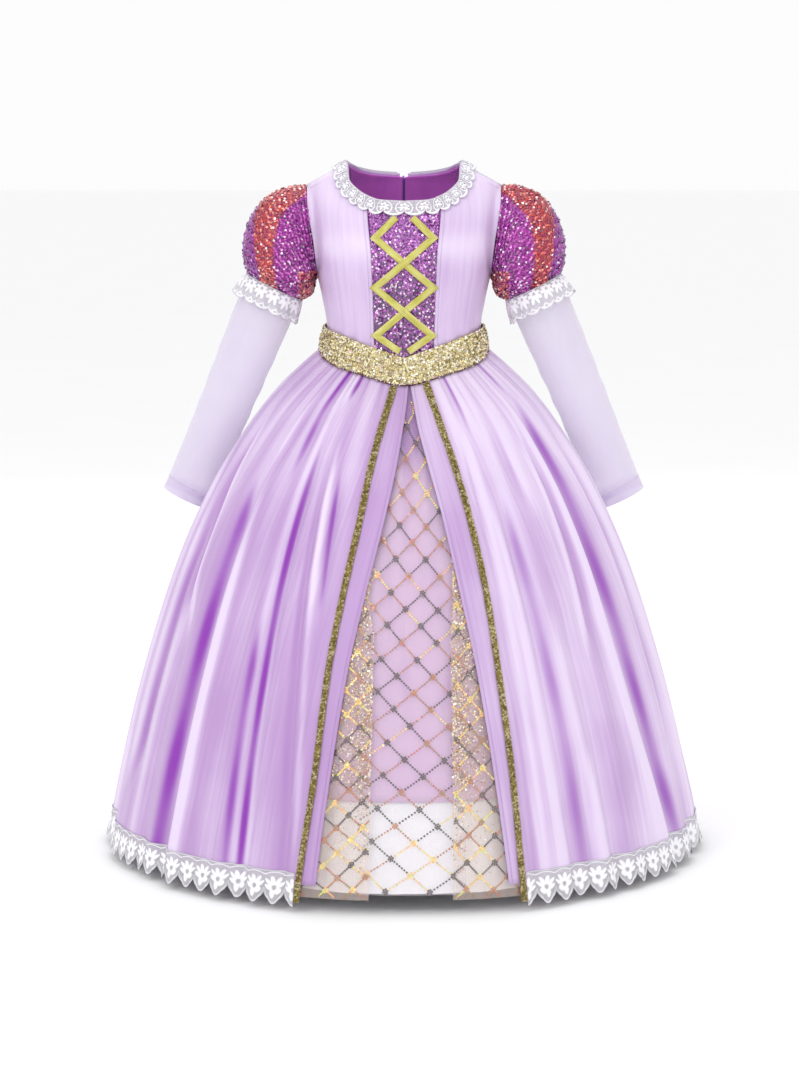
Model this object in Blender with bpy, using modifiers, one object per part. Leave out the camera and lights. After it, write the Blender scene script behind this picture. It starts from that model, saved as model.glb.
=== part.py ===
"""Child's princess dress, filled out as if worn, with nobody in it.

The dress faces -Y and its own left side is at +X. The origin is the middle of
the neck opening at the height where the shoulder seams start, because the
wearer's shoulders hold it. Cloth pieces are thin walls, one object for each
piece that is cut and sewn on.
"""

import bmesh
import bpy
from math import asin, atan2, cos, degrees, pi, radians, sin, sqrt
from mathutils import Matrix, Vector

MM = 0.001

# Walls and the gap left between pieces at a seam
SATIN = 1.2 * MM
NET = 1.0 * MM
LACE = 1.0 * MM
BELT = 2.0 * MM
RIBBON = 1.0 * MM
BRAID = 1.6 * MM
SEAM = 0.4 * MM

# Heights below the shoulder neck point
SIDE_WAIST_Z = -194 * MM
SATIN_HEM_Z = -797 * MM
LACE_TIP_Z = -823 * MM
LACE_NOTCH_Z = -810 * MM
LACE_TOP_Z = -785 * MM
UNDERSKIRT_HEM_Z = -707 * MM
PETTICOAT_HEM_Z = -806 * MM
SLIDER_Z = -36 * MM

# Torso under the bodice, by height: half width, front depth, back depth
TORSO = [
    # z, half_width, front, back
    (0, 68, 8, 20),
    (-13, 92, 30, 40),
    (-26, 116, 40, 50),
    (-46, 117.5, 53, 60),
    (-80, 117.6, 68, 68),
    (-110, 110, 77, 72),
    (-135, 103.5, 79, 73),
    (-165, 97, 79, 73),
    (-194, 92.5, 78, 74),
    (-262, 92.5, 78, 74),
]
TORSO_POWER = 2.3

# Armhole, an oval between the shoulder tip and the underarm point
ARMHOLE_TOP = (116, -26)
ARMHOLE_LOW = (103.5, -135)
ARMHOLE_DEPTH = 30

# Bodice columns: place across at the waist, then x and z at the upper edge
FRONT_TOP = [
    # share, top_x, top_z
    (0.00, 43.6, -39.0),
    (0.17, 54.8, -31.6),
    (0.33, 64.4, -21.0),
    (0.50, 67.8, 0.0),
    (0.75, 92.0, -13.0),
    (1.00, 116.0, -26.0),
]
BACK_TOP = [
    # share, top_x, top_z
    (0.00, 5.0, -13.0),
    (0.22, 30.0, -11.5),
    (0.42, 50.0, -8.0),
    (0.60, 67.8, 0.0),
    (0.80, 92.0, -13.0),
    (1.00, 116.0, -26.0),
]
STOMACHER_TOP = [(0, -45.6), (14.5, -45.4), (28.4, -44.0), (43.0, -39.0)]
STOMACHER_SEAM = [(-39, 43.0), (-90, 39.0), (-160, 36.0), (-230, 34.0)]
ARM_ROWS = [0, 0.13, 0.30, 0.48, 0.65, 0.83, 1.0]

# Waist seam and belt: angle round from the front, belt top, belt bottom
WAIST = [
    # angle, top_z, bottom_z
    (0, -228.5, -261.5),
    (8, -224.0, -260.0),
    (15, -220.0, -256.5),
    (30, -212.5, -249.0),
    (50, -203.0, -241.5),
    (70, -197.5, -232.5),
    (90, -194.0, -222.5),
    (180, -190.0, -219.0),
]
BELT_LOW_WIDTH = 101
BELT_LOW_DEPTH = 82
UNDER_BELT = 5

# Skirt outline: share of the way down, half width, depth over width
SKIRT = [
    # t, half_width, depth_ratio
    (0.000, 103, 0.815),
    (0.030, 123, 0.833),
    (0.084, 155, 0.860),
    (0.160, 189, 0.895),
    (0.266, 228, 0.930),
    (0.420, 270, 0.957),
    (0.580, 302, 0.977),
    (0.780, 334, 0.990),
    (1.000, 361, 1.000),
    (1.060, 367, 1.000),
]
SKIRT_ROWS = [0, 0.03, 0.084, 0.16, 0.266, 0.42, 0.58, 0.78, 1.0]

# Split front: free edge and middle of the braid, as angles from the front
SPLIT = [
    # t, right_edge, left_edge, right_braid, left_braid
    (0.00, 2.8, 4.2, -6.6, 14.1),
    (0.084, -0.4, 6.0, -9.6, 15.6),
    (0.16, -2.6, 8.4, -11.4, 17.3),
    (0.266, -5.6, 11.1, -12.6, 18.8),
    (0.42, -9.4, 13.6, -14.8, 20.0),
    (0.58, -12.3, 15.8, -16.5, 20.5),
    (0.78, -14.3, 17.5, -17.4, 21.1),
    (1.00, -15.9, 18.9, -19.1, 21.4),
    (1.06, -16.1, 19.1, -19.3, 21.5),
]
BRAID_WIDTH = 8.0

# Gathered folds from the braid to the side seam, then on to the back
FRONT_FOLDS = [
    # width, depth
    (0.80, 0.70),
    (1.10, 1.00),
    (0.85, 0.75),
    (1.15, 0.95),
    (0.95, 0.80),
    (1.15, 1.00),
]
BACK_FOLDS = [
    # width, depth
    (0.95, 0.85),
    (1.10, 1.00),
    (0.90, 0.75),
    (1.05, 0.95),
    (1.00, 0.80),
    (1.10, 1.00),
    (0.90, 0.70),
]
FOLD_DEPTH = [(0, 4.0), (0.03, 8.0), (0.084, 11.0), (0.266, 15.0), (1.0, 16.0), (1.06, 16.0)]

# Side nets: inner fold edges by share of the way down
NET_EDGE = [
    # t, right, left
    (0.00, -2.6, 9.0),
    (0.31, -7.3, 12.7),
    (0.42, -8.5, 11.8),
    (0.51, -6.9, 10.6),
    (1.06, -6.3, 8.5),
]
INNER_ROWS = [0, 0.05, 0.13, 0.25, 0.40, 0.60, 0.84]

# Puff sleeve: rings from the armhole to the arm band
PUFF = [
    # outer_x, outer_z, inner_x, inner_z, depth, gather
    (117.4, -25.5, 104.8, -136.5, 30.6, 0.0),
    (130.0, -25.0, 106.4, -142.0, 42.0, 2.2),
    (152.0, -31.0, 107.5, -148.0, 52.0, 2.8),
    (172.0, -45.0, 110.0, -153.0, 57.0, 2.2),
    (187.0, -68.0, 113.5, -157.5, 57.0, 1.8),
    (194.0, -97.0, 117.5, -161.0, 52.0, 2.4),
    (193.5, -120.0, 121.0, -163.0, 44.0, 2.4),
    (188.0, -132.0, 123.5, -163.5, 37.0, 0.6),
]
PUFF_SIDES = 28

# Lower arm: mesh sleeve from the arm band to the cuff
ARM_TOP = (155.7, 0, -147.8)
CUFF = (271.6, 90, -415.0)
SLEEVE = [
    # share, half_width, half_depth
    (0.004, 35.2, 35.8),
    (0.15, 34.8, 34.8),
    (0.35, 33.5, 33.5),
    (0.55, 32.0, 32.5),
    (0.75, 31.2, 31.5),
    (0.95, 31.0, 31.0),
    (1.00, 31.5, 31.5),
]
ARM_LACE = [
    # along, half_width, half_depth, wave
    (0.8, 36.1, 36.9, 0.6),
    (14.0, 38.6, 39.4, 2.2),
    (29.0, 41.0, 42.0, 4.0),
]
SLEEVE_SIDES = 18
ARM_LACE_SIDES = 28

# Neck lace from the middle of the back round to the middle of the front
NECK_LACE = [
    # inner_x, inner_z, outer_x, outer_z, facing (1 back, -1 front)
    (8.0, -12.9, 8.0, -31.0, 1),
    (30.0, -11.5, 32.0, -29.5, 1),
    (50.0, -8.0, 56.0, -25.0, 1),
    (62.0, -4.0, 73.0, -17.5, 0.5),
    (67.8, 0.0, 84.0, -8.7, 0),
    (66.6, -12.0, 83.0, -20.5, -0.5),
    (64.4, -21.0, 78.5, -32.0, -1),
    (54.8, -31.6, 66.0, -46.0, -1),
    (43.8, -38.6, 51.5, -55.0, -1),
    (28.4, -44.0, 31.5, -61.5, -1),
    (0.0, -45.6, 0.0, -63.0, -1),
]
NECK_SCALLOPS = 13

# Lacing on the centre panel, one ribbon; the other is its mirror image
LACING = [(-13, -69), (-34.0, -88.5), (0, -117.5), (34.0, -146), (0, -174), (-32.5, -202), (-5, -221)]
LACING_WIDTH = 8.0

COLOURS = {
    # name: red, green, blue, roughness, metallic
    "satin": (0.62, 0.44, 0.70, 0.35, 0.0),
    "centre_sequins": (0.42, 0.10, 0.50, 0.30, 0.2),
    "puff_sequins": (0.36, 0.06, 0.36, 0.35, 0.2),
    "gold_sequins": (0.60, 0.50, 0.24, 0.30, 0.5),
    "gold_ribbon": (0.52, 0.48, 0.12, 0.35, 0.1),
    "gold_braid": (0.55, 0.47, 0.18, 0.45, 0.3),
    "white_lace": (0.85, 0.83, 0.88, 0.80, 0.0),
    "sequin_net": (0.70, 0.60, 0.55, 0.60, 0.1),
    "white_net": (0.80, 0.80, 0.82, 0.85, 0.0),
    "pink_underskirt": (0.68, 0.45, 0.66, 0.50, 0.0),
    "arm_mesh": (0.72, 0.66, 0.82, 0.60, 0.0),
    "lining": (0.50, 0.12, 0.52, 0.45, 0.0),
    "zip_tape": (0.45, 0.30, 0.52, 0.80, 0.0),
    "zip_metal": (0.55, 0.45, 0.62, 0.35, 0.6),
}


def read(table, at, column=1):
    """Straight line value of one column of a table at a place in its first."""
    rows = table if table[0][0] <= table[-1][0] else table[::-1]
    if at <= rows[0][0]:
        return rows[0][column]
    for low, high in zip(rows, rows[1:]):
        if at <= high[0]:
            part = (at - low[0]) / (high[0] - low[0])
            return low[column] + (high[column] - low[column]) * part
    return rows[-1][column]


def blend(a, b, part):
    return a + (b - a) * part


def ease(value, low, high):
    part = min(1.0, max(0.0, (value - low) / (high - low)))
    return part * part * (3 - 2 * part)


def material(name):
    found = bpy.data.materials.get(name)
    if found:
        return found
    red, green, blue, rough, metal = COLOURS[name]
    made = bpy.data.materials.new(name)
    made.use_nodes = True
    shader = made.node_tree.nodes["Principled BSDF"]
    shader.inputs["Base Color"].default_value = (red, green, blue, 1)
    shader.inputs["Roughness"].default_value = rough
    shader.inputs["Metallic"].default_value = metal
    made.diffuse_color = (red, green, blue, 1)
    return made


def own_material(name, like):
    """One material for each piece, coloured like its cloth."""
    base = material(like)
    made = base.copy()
    made.name = name
    return made


def add_object(name, bm, like):
    mesh = bpy.data.meshes.new(name)
    bm.to_mesh(mesh)
    bm.free()
    mesh.materials.append(own_material(name, like))
    obj = bpy.data.objects.new(name, mesh)
    dress.objects.link(obj)
    return obj


def sheet(name, columns, rows, place, wall, like, outward=False, ring=False, mirror=False):
    """Bend a flat grid into a cloth wall.

    Columns run to the right and rows run down, seen from outside. A mirrored
    sheet is placed at the other side of the dress.
    """
    bm = bmesh.new()
    bmesh.ops.create_grid(bm, x_segments=columns, y_segments=rows, size=1.0)
    for vert in bm.verts:
        i = round((vert.co.x + 1) / 2 * columns)
        j = round((vert.co.y + 1) / 2 * rows)
        spot = Vector(place(i, j))
        if mirror:
            spot.x = -spot.x
        vert.co = spot
    if ring:
        bmesh.ops.remove_doubles(bm, verts=bm.verts, dist=0.00001)
    if not mirror:
        bmesh.ops.reverse_faces(bm, faces=bm.faces)
    obj = add_object(name, bm, like)
    solid = obj.modifiers.new("wall", 'SOLIDIFY')
    solid.thickness = wall
    solid.offset = 1.0 if outward else -1.0
    return obj


# Bodice surface

def torso(x, z, facing, lift=0.0):
    """Point on the torso at x and z in mm, facing -1 front or 1 back."""
    half = read(TORSO, z, 1)
    deep = read(TORSO, z, 3 if facing > 0 else 2)
    share = min(1.0, abs(x) / half)
    y = facing * deep * (1 - share ** TORSO_POWER) ** (1 / TORSO_POWER)
    if not lift:
        return Vector((x, y, z)) * MM
    return (Vector((x, y, z)) + torso_normal(x, y, z, facing) * lift) * MM


def torso_value(x, y, z, facing):
    half = read(TORSO, z, 1)
    deep = read(TORSO, z, 3 if facing > 0 else 2)
    return (abs(x) / half) ** TORSO_POWER + (abs(y) / deep) ** TORSO_POWER


def torso_normal(x, y, z, facing):
    step = 1.5
    slope = Vector((
        torso_value(x + step, y, z, facing) - torso_value(x - step, y, z, facing),
        torso_value(x, y + step, z, facing) - torso_value(x, y - step, z, facing),
        torso_value(x, y, z + step, facing) - torso_value(x, y, z - step, facing),
    ))
    return slope.normalized()


def belt_top_z(x, facing):
    angle = degrees(asin(min(1.0, abs(x) / 92.5)))
    if facing > 0:
        angle = 180 - angle
    return read(WAIST, angle, 1)


def side_edge(z, facing):
    """Outer edge of a bodice piece: half of the armhole, then the side seam."""
    top_x, top_z = ARMHOLE_TOP
    low_x, low_z = ARMHOLE_LOW
    if z > low_z:
        rise = (z - (top_z + low_z) / 2) / ((top_z - low_z) / 2)
        rise = min(1.0, max(-1.0, rise))
        x = blend(low_x, top_x, (z - low_z) / (top_z - low_z))
        return Vector((x, facing * (ARMHOLE_DEPTH * sqrt(1 - rise * rise) + 0.4), z)) * MM
    return Vector((read(TORSO, z, 1), facing * 0.4, z)) * MM


def bodice_side(name, tops, inner_x, facing, mirror):
    """Front or back piece between its inner edge and the side."""
    columns = len(tops) - 1

    def place(i, j):
        if facing > 0:
            i = columns - i
        share, top_x, top_z = tops[i]
        if i == columns:
            z = blend(top_z, SIDE_WAIST_Z / MM - UNDER_BELT, ARM_ROWS[j])
            return side_edge(z, facing)
        low_x = blend(inner_x(-210), 92.5, share)
        low_z = belt_top_z(low_x, facing) - UNDER_BELT
        z = blend(top_z, low_z, ARM_ROWS[j])
        outer_x = side_edge(z, facing).x / MM
        lower_x = blend(inner_x(z), outer_x, share)
        x = blend(top_x, lower_x, min(1.0, ARM_ROWS[j] / 0.4))
        spot = torso(x, z, facing)
        if j == 0:
            spot.y += facing * 0.4 * MM
        return spot

    return sheet(name, columns, len(ARM_ROWS) - 1, place, SATIN, "satin", outward=True, mirror=mirror)


def front_seam_x(z):
    return read(STOMACHER_SEAM, z) + 0.6


def back_seam_x(z):
    return read([(-40, 3.0), (-13, 5.0)], z)


def stomacher():
    """Sequin centre front between the two front seams."""
    columns = 6
    rows = 7

    def place(i, j):
        across = (i - 3) / 3
        top_x, top_z = STOMACHER_TOP[abs(i - 3)]
        low_z = belt_top_z(34 * across, -1) - UNDER_BELT
        z = blend(top_z, low_z, j / rows)
        x = across * read(STOMACHER_SEAM, z)
        return torso(x, z, -1)

    return sheet("stomacher", columns, rows, place, SATIN, "centre_sequins", outward=True)


def back_lining(name, mirror):
    """Lining inside the back of the neck, where it shows."""
    tops = BACK_TOP[:4]
    columns = 5
    rows = 3

    def place(i, j):
        share = (columns - i) / columns
        x = blend(8.0, 60.0, share)
        top_z = read([(0, -13), (30, -11.5), (50, -8), (67.8, 0)], x) - 1.5
        z = blend(top_z, -92, j / rows)
        return torso(x, z, 1, -3.6)

    return sheet(name, columns, rows, place, NET, "lining", mirror=mirror)


def neck_lace():
    """Scalloped lace flat on the bodice round the neck opening."""
    steps = NECK_SCALLOPS * 2

    def edge(i, outer):
        side = 1 if i <= steps else -1
        along = i if i <= steps else 2 * steps - i
        spot = along / steps * (len(NECK_LACE) - 1)
        low = min(len(NECK_LACE) - 2, int(spot))
        part = spot - low
        first, second = NECK_LACE[low], NECK_LACE[low + 1]
        k = 2 if outer else 0
        x = blend(first[k], second[k], part)
        z = blend(first[k + 1], second[k + 1], part)
        facing = blend(first[4], second[4], part)
        return side, x, z, facing

    def place(i, j):
        i = 2 * steps - i
        side, inner_x, inner_z, facing = edge(i, False)
        side, outer_x, outer_z, facing = edge(i, True)
        reach = 1.0 if i % 2 else 0.8
        part = (0.0, 0.5, reach)[j]
        x = blend(inner_x, outer_x, part)
        z = blend(inner_z, outer_z, part)
        half = read(TORSO, z, 1)
        x = min(x, half)
        spot = torso(x, z, 1 if facing > 0 else -1, 2.4 + 2.4 * (1 - abs(facing)))
        spot.x *= side
        return spot

    return sheet("neck_lace", 2 * steps, 2, place, LACE, "white_lace", outward=True)


def ribbon_edges(path, width):
    """Left and right edge points of a folded ribbon along a path."""
    points = [Vector((x, z, 0)) for x, z in path]
    edges = []
    for k, point in enumerate(points):
        before = (point - points[k - 1]).normalized() if k else None
        after = (points[k + 1] - point).normalized() if k + 1 < len(points) else None
        way = (before or after) + (after or before)
        way.normalize()
        across = Vector((-way.y, way.x, 0))
        square = Vector((-(before or after).y, (before or after).x, 0))
        reach = width / 2 / max(0.5, across.dot(square))
        edges.append((point + across * reach, point - across * reach))
    return edges


def lacing(name, mirror):
    """One ribbon of the crossed lacing; the mirrored one passes over it."""
    parts = 4
    edges = ribbon_edges(LACING, LACING_WIDTH)
    steps = (len(edges) - 1) * parts

    def place(i, j):
        leg = min(len(edges) - 2, i // parts)
        part = i / parts - leg
        first = edges[leg][0].lerp(edges[leg + 1][0], part)
        second = edges[leg][1].lerp(edges[leg + 1][1], part)
        spot = second if j else first
        lift = 1.9
        if mirror:
            nearest = min(abs(spot.y - z) for z in (-117.5, -174.0))
            lift += 1.9 * (1 - ease(nearest, 7, 13))
            lift += 1.9 * ease(-spot.y, 206, 214)
        return torso(spot.x, spot.y, -1, lift)

    ribbon = sheet(name, steps, 1, place, RIBBON, "gold_ribbon", outward=True, mirror=mirror)
    return ribbon


# Belt and skirt

def waist_ring(angle, low):
    """Inner face of the belt at its top or bottom edge."""
    turn = radians(angle)
    if low:
        x = BELT_LOW_WIDTH * sin(turn)
        y = -BELT_LOW_DEPTH * cos(turn)
        return Vector((x, y, read(WAIST, abs(angle), 2) + SEAM / MM)) * MM
    x = 92.5 * sin(turn)
    facing = 1 if abs(angle) > 90 else -1
    z = read(WAIST, abs(angle), 1)
    return torso(x, z, facing, 2.5)


def belt():
    """Sequin belt, dipped at the front and open at the zip."""
    columns = 44
    rows = 2
    end = 180 - degrees(3.2 / 80)

    def place(i, j):
        angle = -end + 2 * end * i / columns
        return waist_ring(angle, False).lerp(waist_ring(angle, True), j / rows)

    return sheet("belt", columns, rows, place, BELT, "gold_sequins", outward=True)


def skirt(t, angle, inset=0.0):
    """Point on the skirt outline, t of the way down, inset in mm."""
    turn = radians(angle)
    half = read(SKIRT, t, 1)
    wide = half - inset
    deep = half * read(SKIRT, t, 2) - inset
    top = read(WAIST, abs(angle), 2) - SEAM / MM
    z = top + (SATIN_HEM_Z / MM - top) * t
    return Vector((wide * sin(turn), -deep * cos(turn), z)) * MM


def share_down(z):
    return (z / MM + 222.9) / (SATIN_HEM_Z / MM + 222.9)


def split_angle(t, side, column):
    """Free edge or braid line in degrees from the front, on its own side."""
    right, left = {"edge": (1, 2), "braid": (3, 4)}[column]
    return read(SPLIT, t, left) if side > 0 else -read(SPLIT, t, right)


def braid_half(t):
    half = read(SKIRT, t, 1) * read(SKIRT, t, 2)
    return degrees(BRAID_WIDTH / 2 / half)


def fold_columns(folds, flat_start, flat_end):
    """Place and depth of each column over a run of folds, both 0 to 1."""
    total = sum(width for width, depth in folds) + flat_start + flat_end
    columns = [(0.0, 0.0)]
    if flat_start:
        columns.append((flat_start / total, 0.0))
    start = flat_start
    for width, depth in folds:
        for part, sink in ((0.25, 0.55), (0.5, 1.0), (0.75, 0.5), (1.0, 0.0)):
            columns.append(((start + width * part) / total, depth * sink))
        start += width
    if flat_end:
        columns.append((1.0, 0.0))
    return columns


FRONT_COLUMNS = fold_columns(FRONT_FOLDS, 0, 0.15)
BACK_COLUMNS = fold_columns(BACK_FOLDS, 0.15, 0)


def front_column(t, side, k):
    """Angle and inset of a front skirt column counted from the free edge."""
    edge = split_angle(t, side, "edge")
    middle = split_angle(t, side, "braid")
    half = braid_half(t)
    if k == 0:
        return edge, 0.0
    if k == 1:
        return middle - half, 0.0
    outer = middle + half
    place, depth = FRONT_COLUMNS[k - 2]
    end = 90 - degrees(SEAM / MM / read(SKIRT, t, 1))
    return blend(outer, end, place), depth * read(FOLD_DEPTH, t)


def back_column(t, k):
    """Angle and inset of a back skirt column counted from the side seam."""
    start = 90 + degrees(SEAM / MM / read(SKIRT, t, 1))
    half = read(SKIRT, t, 1) * read(SKIRT, t, 2)
    slot = 3.2 if t < 0.17 else 0.3
    end = 180 - degrees(slot / half)
    last = 180 - degrees(16 / half)
    if k == len(BACK_COLUMNS):
        return end, 0.0
    place, depth = BACK_COLUMNS[k]
    return blend(start, last, place), depth * read(FOLD_DEPTH, t)


FRONT_COUNT = len(FRONT_COLUMNS) + 1
BACK_COUNT = len(BACK_COLUMNS)


def overskirt_front(name, side):
    def place(i, j):
        t = SKIRT_ROWS[j]
        angle, inset = front_column(t, side, i)
        return skirt(t, angle, inset)

    return sheet(name, FRONT_COUNT, len(SKIRT_ROWS) - 1, place, SATIN, "satin", mirror=side < 0)


def overskirt_back(name, side):
    def place(i, j):
        t = SKIRT_ROWS[j]
        angle, inset = back_column(t, i)
        return skirt(t, angle, inset)

    return sheet(name, BACK_COUNT, len(SKIRT_ROWS) - 1, place, SATIN, "satin", mirror=side < 0)


def hem_lace(name, side):
    """Pointed lace sewn on the satin hem from the braid to the back seam."""
    front = [("front", k) for k in range(2, FRONT_COUNT + 1)]
    back = [("back", k) for k in range(1, BACK_COUNT + 1)]
    stops = front + back
    columns = 2 * (len(stops) - 1)

    def satin_point(stop, t):
        piece, k = stop
        angle, inset = front_column(t, side, k) if piece == "front" else back_column(t, k)
        if stop == front[0]:
            angle += degrees(1.2 / 361)
        return skirt(t, angle, inset - 0.7)

    def place(i, j):
        low = satin_point(stops[i // 2], 1.0)
        top = satin_point(stops[i // 2], share_down(LACE_TOP_Z))
        if i % 2:
            low = low.lerp(satin_point(stops[i // 2 + 1], 1.0), 0.5)
            top = top.lerp(satin_point(stops[i // 2 + 1], share_down(LACE_TOP_Z)), 0.5)
        if j == 0:
            return top
        way = (low - top) / (low.z - top.z)
        end = LACE_TIP_Z if i % 2 else LACE_NOTCH_Z
        return top + way * (end - top.z)

    return sheet(name, columns, 1, place, LACE, "white_lace", outward=True, mirror=side < 0)


def braid(name, side):
    """Gold braid down the front, over the hem to a folded tip."""
    rows = SKIRT_ROWS + [1.035]

    def place(i, j):
        t = rows[j]
        middle = split_angle(t, side, "braid")
        half = braid_half(t) - degrees(0.2 / 361)
        return skirt(t, middle + (half if i else -half), -0.7)

    return sheet(name, 1, len(rows) - 1, place, BRAID, "gold_braid", outward=True, mirror=side < 0)


# Layers under the split front

def inner_rows(hem_z):
    """Rows shared by all inner layers, down to a layer's own hem."""
    last = share_down(hem_z)
    return [t for t in INNER_ROWS if t < last - 0.02] + [last]


def layer_inset(t, angle, front_start, front_full, extra):
    """Inset of an inner skirt layer: close at the split, clear of the folds."""
    near = blend(front_start, front_full, ease(t, 0, 0.1))
    far = read(FOLD_DEPTH, t) + 3.0 + extra
    off_centre = abs(angle - 2.0)
    edge = 9 + 4.5 * ease(t, 0, 0.5)
    return blend(near, far, ease(off_centre, edge, edge + 9))


INNER_COLUMNS = 44


def inner_skirt(name, hem_z, front_start, front_full, extra, like, first=0, last=INNER_COLUMNS):
    """Inner skirt, or one panel of it, open at the back seam under the zip."""
    rows = inner_rows(hem_z)

    def place(i, j):
        t = rows[j]
        half = read(SKIRT, t, 1) * read(SKIRT, t, 2)
        slot = 4.0 if t < 0.2 else 0.4
        end = 180 - degrees(slot / half)
        column = first + i
        angle = -end + 2 * end * column / INNER_COLUMNS
        if i == 0 and first > 0:
            angle += degrees(SEAM / MM / half)
        if column == last < INNER_COLUMNS:
            angle -= degrees(SEAM / MM / half)
        wave = 1.3 * (0, 1, 0, -1)[column % 4] * ease(t, 0, 0.25)
        inset = layer_inset(t, angle, front_start, front_full, extra) + 1.3 + wave
        return skirt(t, angle, inset)

    return sheet(name, last - first, len(rows) - 1, place, NET, like)


def net_side(name, side):
    """Side panel of the sequin net, from its fold edge to under the satin."""
    columns = 5
    rows = inner_rows(-811 * MM)

    def place(i, j):
        t = rows[j]
        inner = read(NET_EDGE, t, 2) if side > 0 else -read(NET_EDGE, t, 1)
        outer = split_angle(t, side, "braid")
        angle = blend(inner, outer, i / columns)
        wave = 0.5 * (1, -1)[i % 2] * ease(t, 0, 0.2)
        inset = blend(1.9, 3.4, ease(t, 0, 0.1)) + 0.5 + wave
        return skirt(t, angle, inset)

    return sheet(name, columns, len(rows) - 1, place, NET, "sequin_net", mirror=side < 0)


def net_centre():
    """Middle panel of the sequin net, behind the two side panels."""
    columns = 8
    rows = inner_rows(-806 * MM)

    def place(i, j):
        t = rows[j]
        start = read(NET_EDGE, t, 1) - 2.5
        end = read(NET_EDGE, t, 2) + 2.5
        angle = blend(start, end, i / columns)
        wave = 0.5 * (1, -1)[i % 2] * ease(t, 0, 0.2)
        inset = blend(3.9, 6.6, ease(t, 0, 0.1)) + 0.5 + wave
        return skirt(t, angle, inset)

    return sheet("net_centre", columns, len(rows) - 1, place, NET, "sequin_net")


# Sleeves

def puff(name, mirror):
    """Gathered puff from the armhole to the arm band."""

    def place(i, j):
        outer_x, outer_z, inner_x, inner_z, depth, gather = PUFF[j]
        turn = 2 * pi * i / PUFF_SIDES
        swell = gather * (1 if i % 2 else -1) - gather
        across = Vector(((outer_x - inner_x) / 2, 0, (outer_z - inner_z) / 2))
        half = across.length
        across.normalize()
        centre = Vector(((outer_x + inner_x) / 2, 0, (outer_z + inner_z) / 2))
        spot = centre + across * (half + swell) * cos(turn) + Vector((0, (depth + swell) * sin(turn), 0))
        return spot * MM

    return sheet(name, PUFF_SIDES, len(PUFF) - 1, place, SATIN, "puff_sequins", ring=True, mirror=mirror)


def arm_across():
    """Direction across the arm band, from the body outwards."""
    outer = PUFF[-1]
    return Vector((outer[0] - outer[2], 0, outer[1] - outer[3])).normalized()


def sleeve(name, mirror):
    """Long mesh sleeve, leaning back a little to pass beside the skirt."""

    def place(i, j):
        share, wide, deep = SLEEVE[j]
        turn = 2 * pi * i / SLEEVE_SIDES
        start, end = Vector(ARM_TOP), Vector(CUFF)
        centre = start.lerp(end, share)
        centre.y = end.y * share ** 1.7
        across = arm_across()
        spot = centre + across * wide * cos(turn) + Vector((0, deep * sin(turn), 0))
        return spot * MM

    return sheet(name, SLEEVE_SIDES, len(SLEEVE) - 1, place, NET, "arm_mesh", ring=True, mirror=mirror)


def arm_lace(name, mirror):
    """Scalloped ruffle below the puff, over the top of the mesh sleeve."""

    def place(i, j):
        along, wide, deep, wave = ARM_LACE[j]
        turn = 2 * pi * i / ARM_LACE_SIDES
        if j == 2 and i % 2 == 0:
            along -= 5
        swell = wave * (0, 1, 0, -0.4)[i % 4]
        centre = Vector(ARM_TOP) + Vector((0.42, 0, -0.907)) * along
        across = arm_across()
        spot = centre + across * (wide + swell) * cos(turn)
        spot += Vector((0, (deep + swell) * sin(turn), 0))
        return spot * MM

    return sheet(name, ARM_LACE_SIDES, 2, place, LACE, "white_lace", outward=True, ring=True, mirror=mirror)


# Zip at the middle of the back

def back_line(z, x, lift):
    """Point inside the back wall at height z, lifted outwards in mm."""
    if z >= -190:
        return torso(x, z, 1, lift)
    top = torso(x, -190, 1)
    low_y = BELT_LOW_DEPTH
    if z >= -219:
        part = (-190 - z) / 29
        y = blend(top.y / MM, low_y, part)
        return Vector((x, y + lift * 0.97, z - lift * 0.2)) * MM
    t = (z + 219.4) / (SATIN_HEM_Z / MM + 219.4)
    half = read(SKIRT, t, 1)
    y = half * read(SKIRT, t, 2) * sqrt(1 - (x / half) ** 2) - 0.9
    return Vector((x, y + lift * 0.9, z + lift * 0.4)) * MM


ZIP_ROWS = [-16, -30, -46, -63, -80, -110, -150, -190, -219.4, -236, -268, -300]


def zip_strip(name, half_width, lift, wall, like):
    columns = 2

    def place(i, j):
        x = half_width * (1 - i)
        return back_line(ZIP_ROWS[j], x, lift)

    return sheet(name, columns, len(ZIP_ROWS) - 1, place, wall, like)


def slider_frame():
    """Place on the zip and lean of the wall there."""
    lift = 3.1
    spot = back_line(SLIDER_Z / MM, 0, lift)
    above = back_line(SLIDER_Z / MM + 5, 0, lift)
    below = back_line(SLIDER_Z / MM - 5, 0, lift)
    up = (above - below).normalized()
    lean = atan2(-up.y, up.z)
    return spot, lean


def add_block(bm, size, centre):
    made = bmesh.ops.create_cube(bm, size=1.0)
    bmesh.ops.scale(bm, vec=size, verts=made["verts"])
    bmesh.ops.translate(bm, vec=centre, verts=made["verts"])
    return made["verts"]


def tool_object(name, bm, parent):
    """Mesh that a Boolean modifier uses and that isn't a piece itself."""
    mesh = bpy.data.meshes.new(name)
    bm.to_mesh(mesh)
    bm.free()
    obj = bpy.data.objects.new(name, mesh)
    tools.objects.link(obj)
    obj.hide_render = True
    obj.display_type = 'WIRE'
    obj.parent = parent
    return obj


def boolean(obj, other, operation):
    change = obj.modifiers.new(other.name, 'BOOLEAN')
    change.operation = operation
    change.solver = 'EXACT'
    change.object = other


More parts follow.
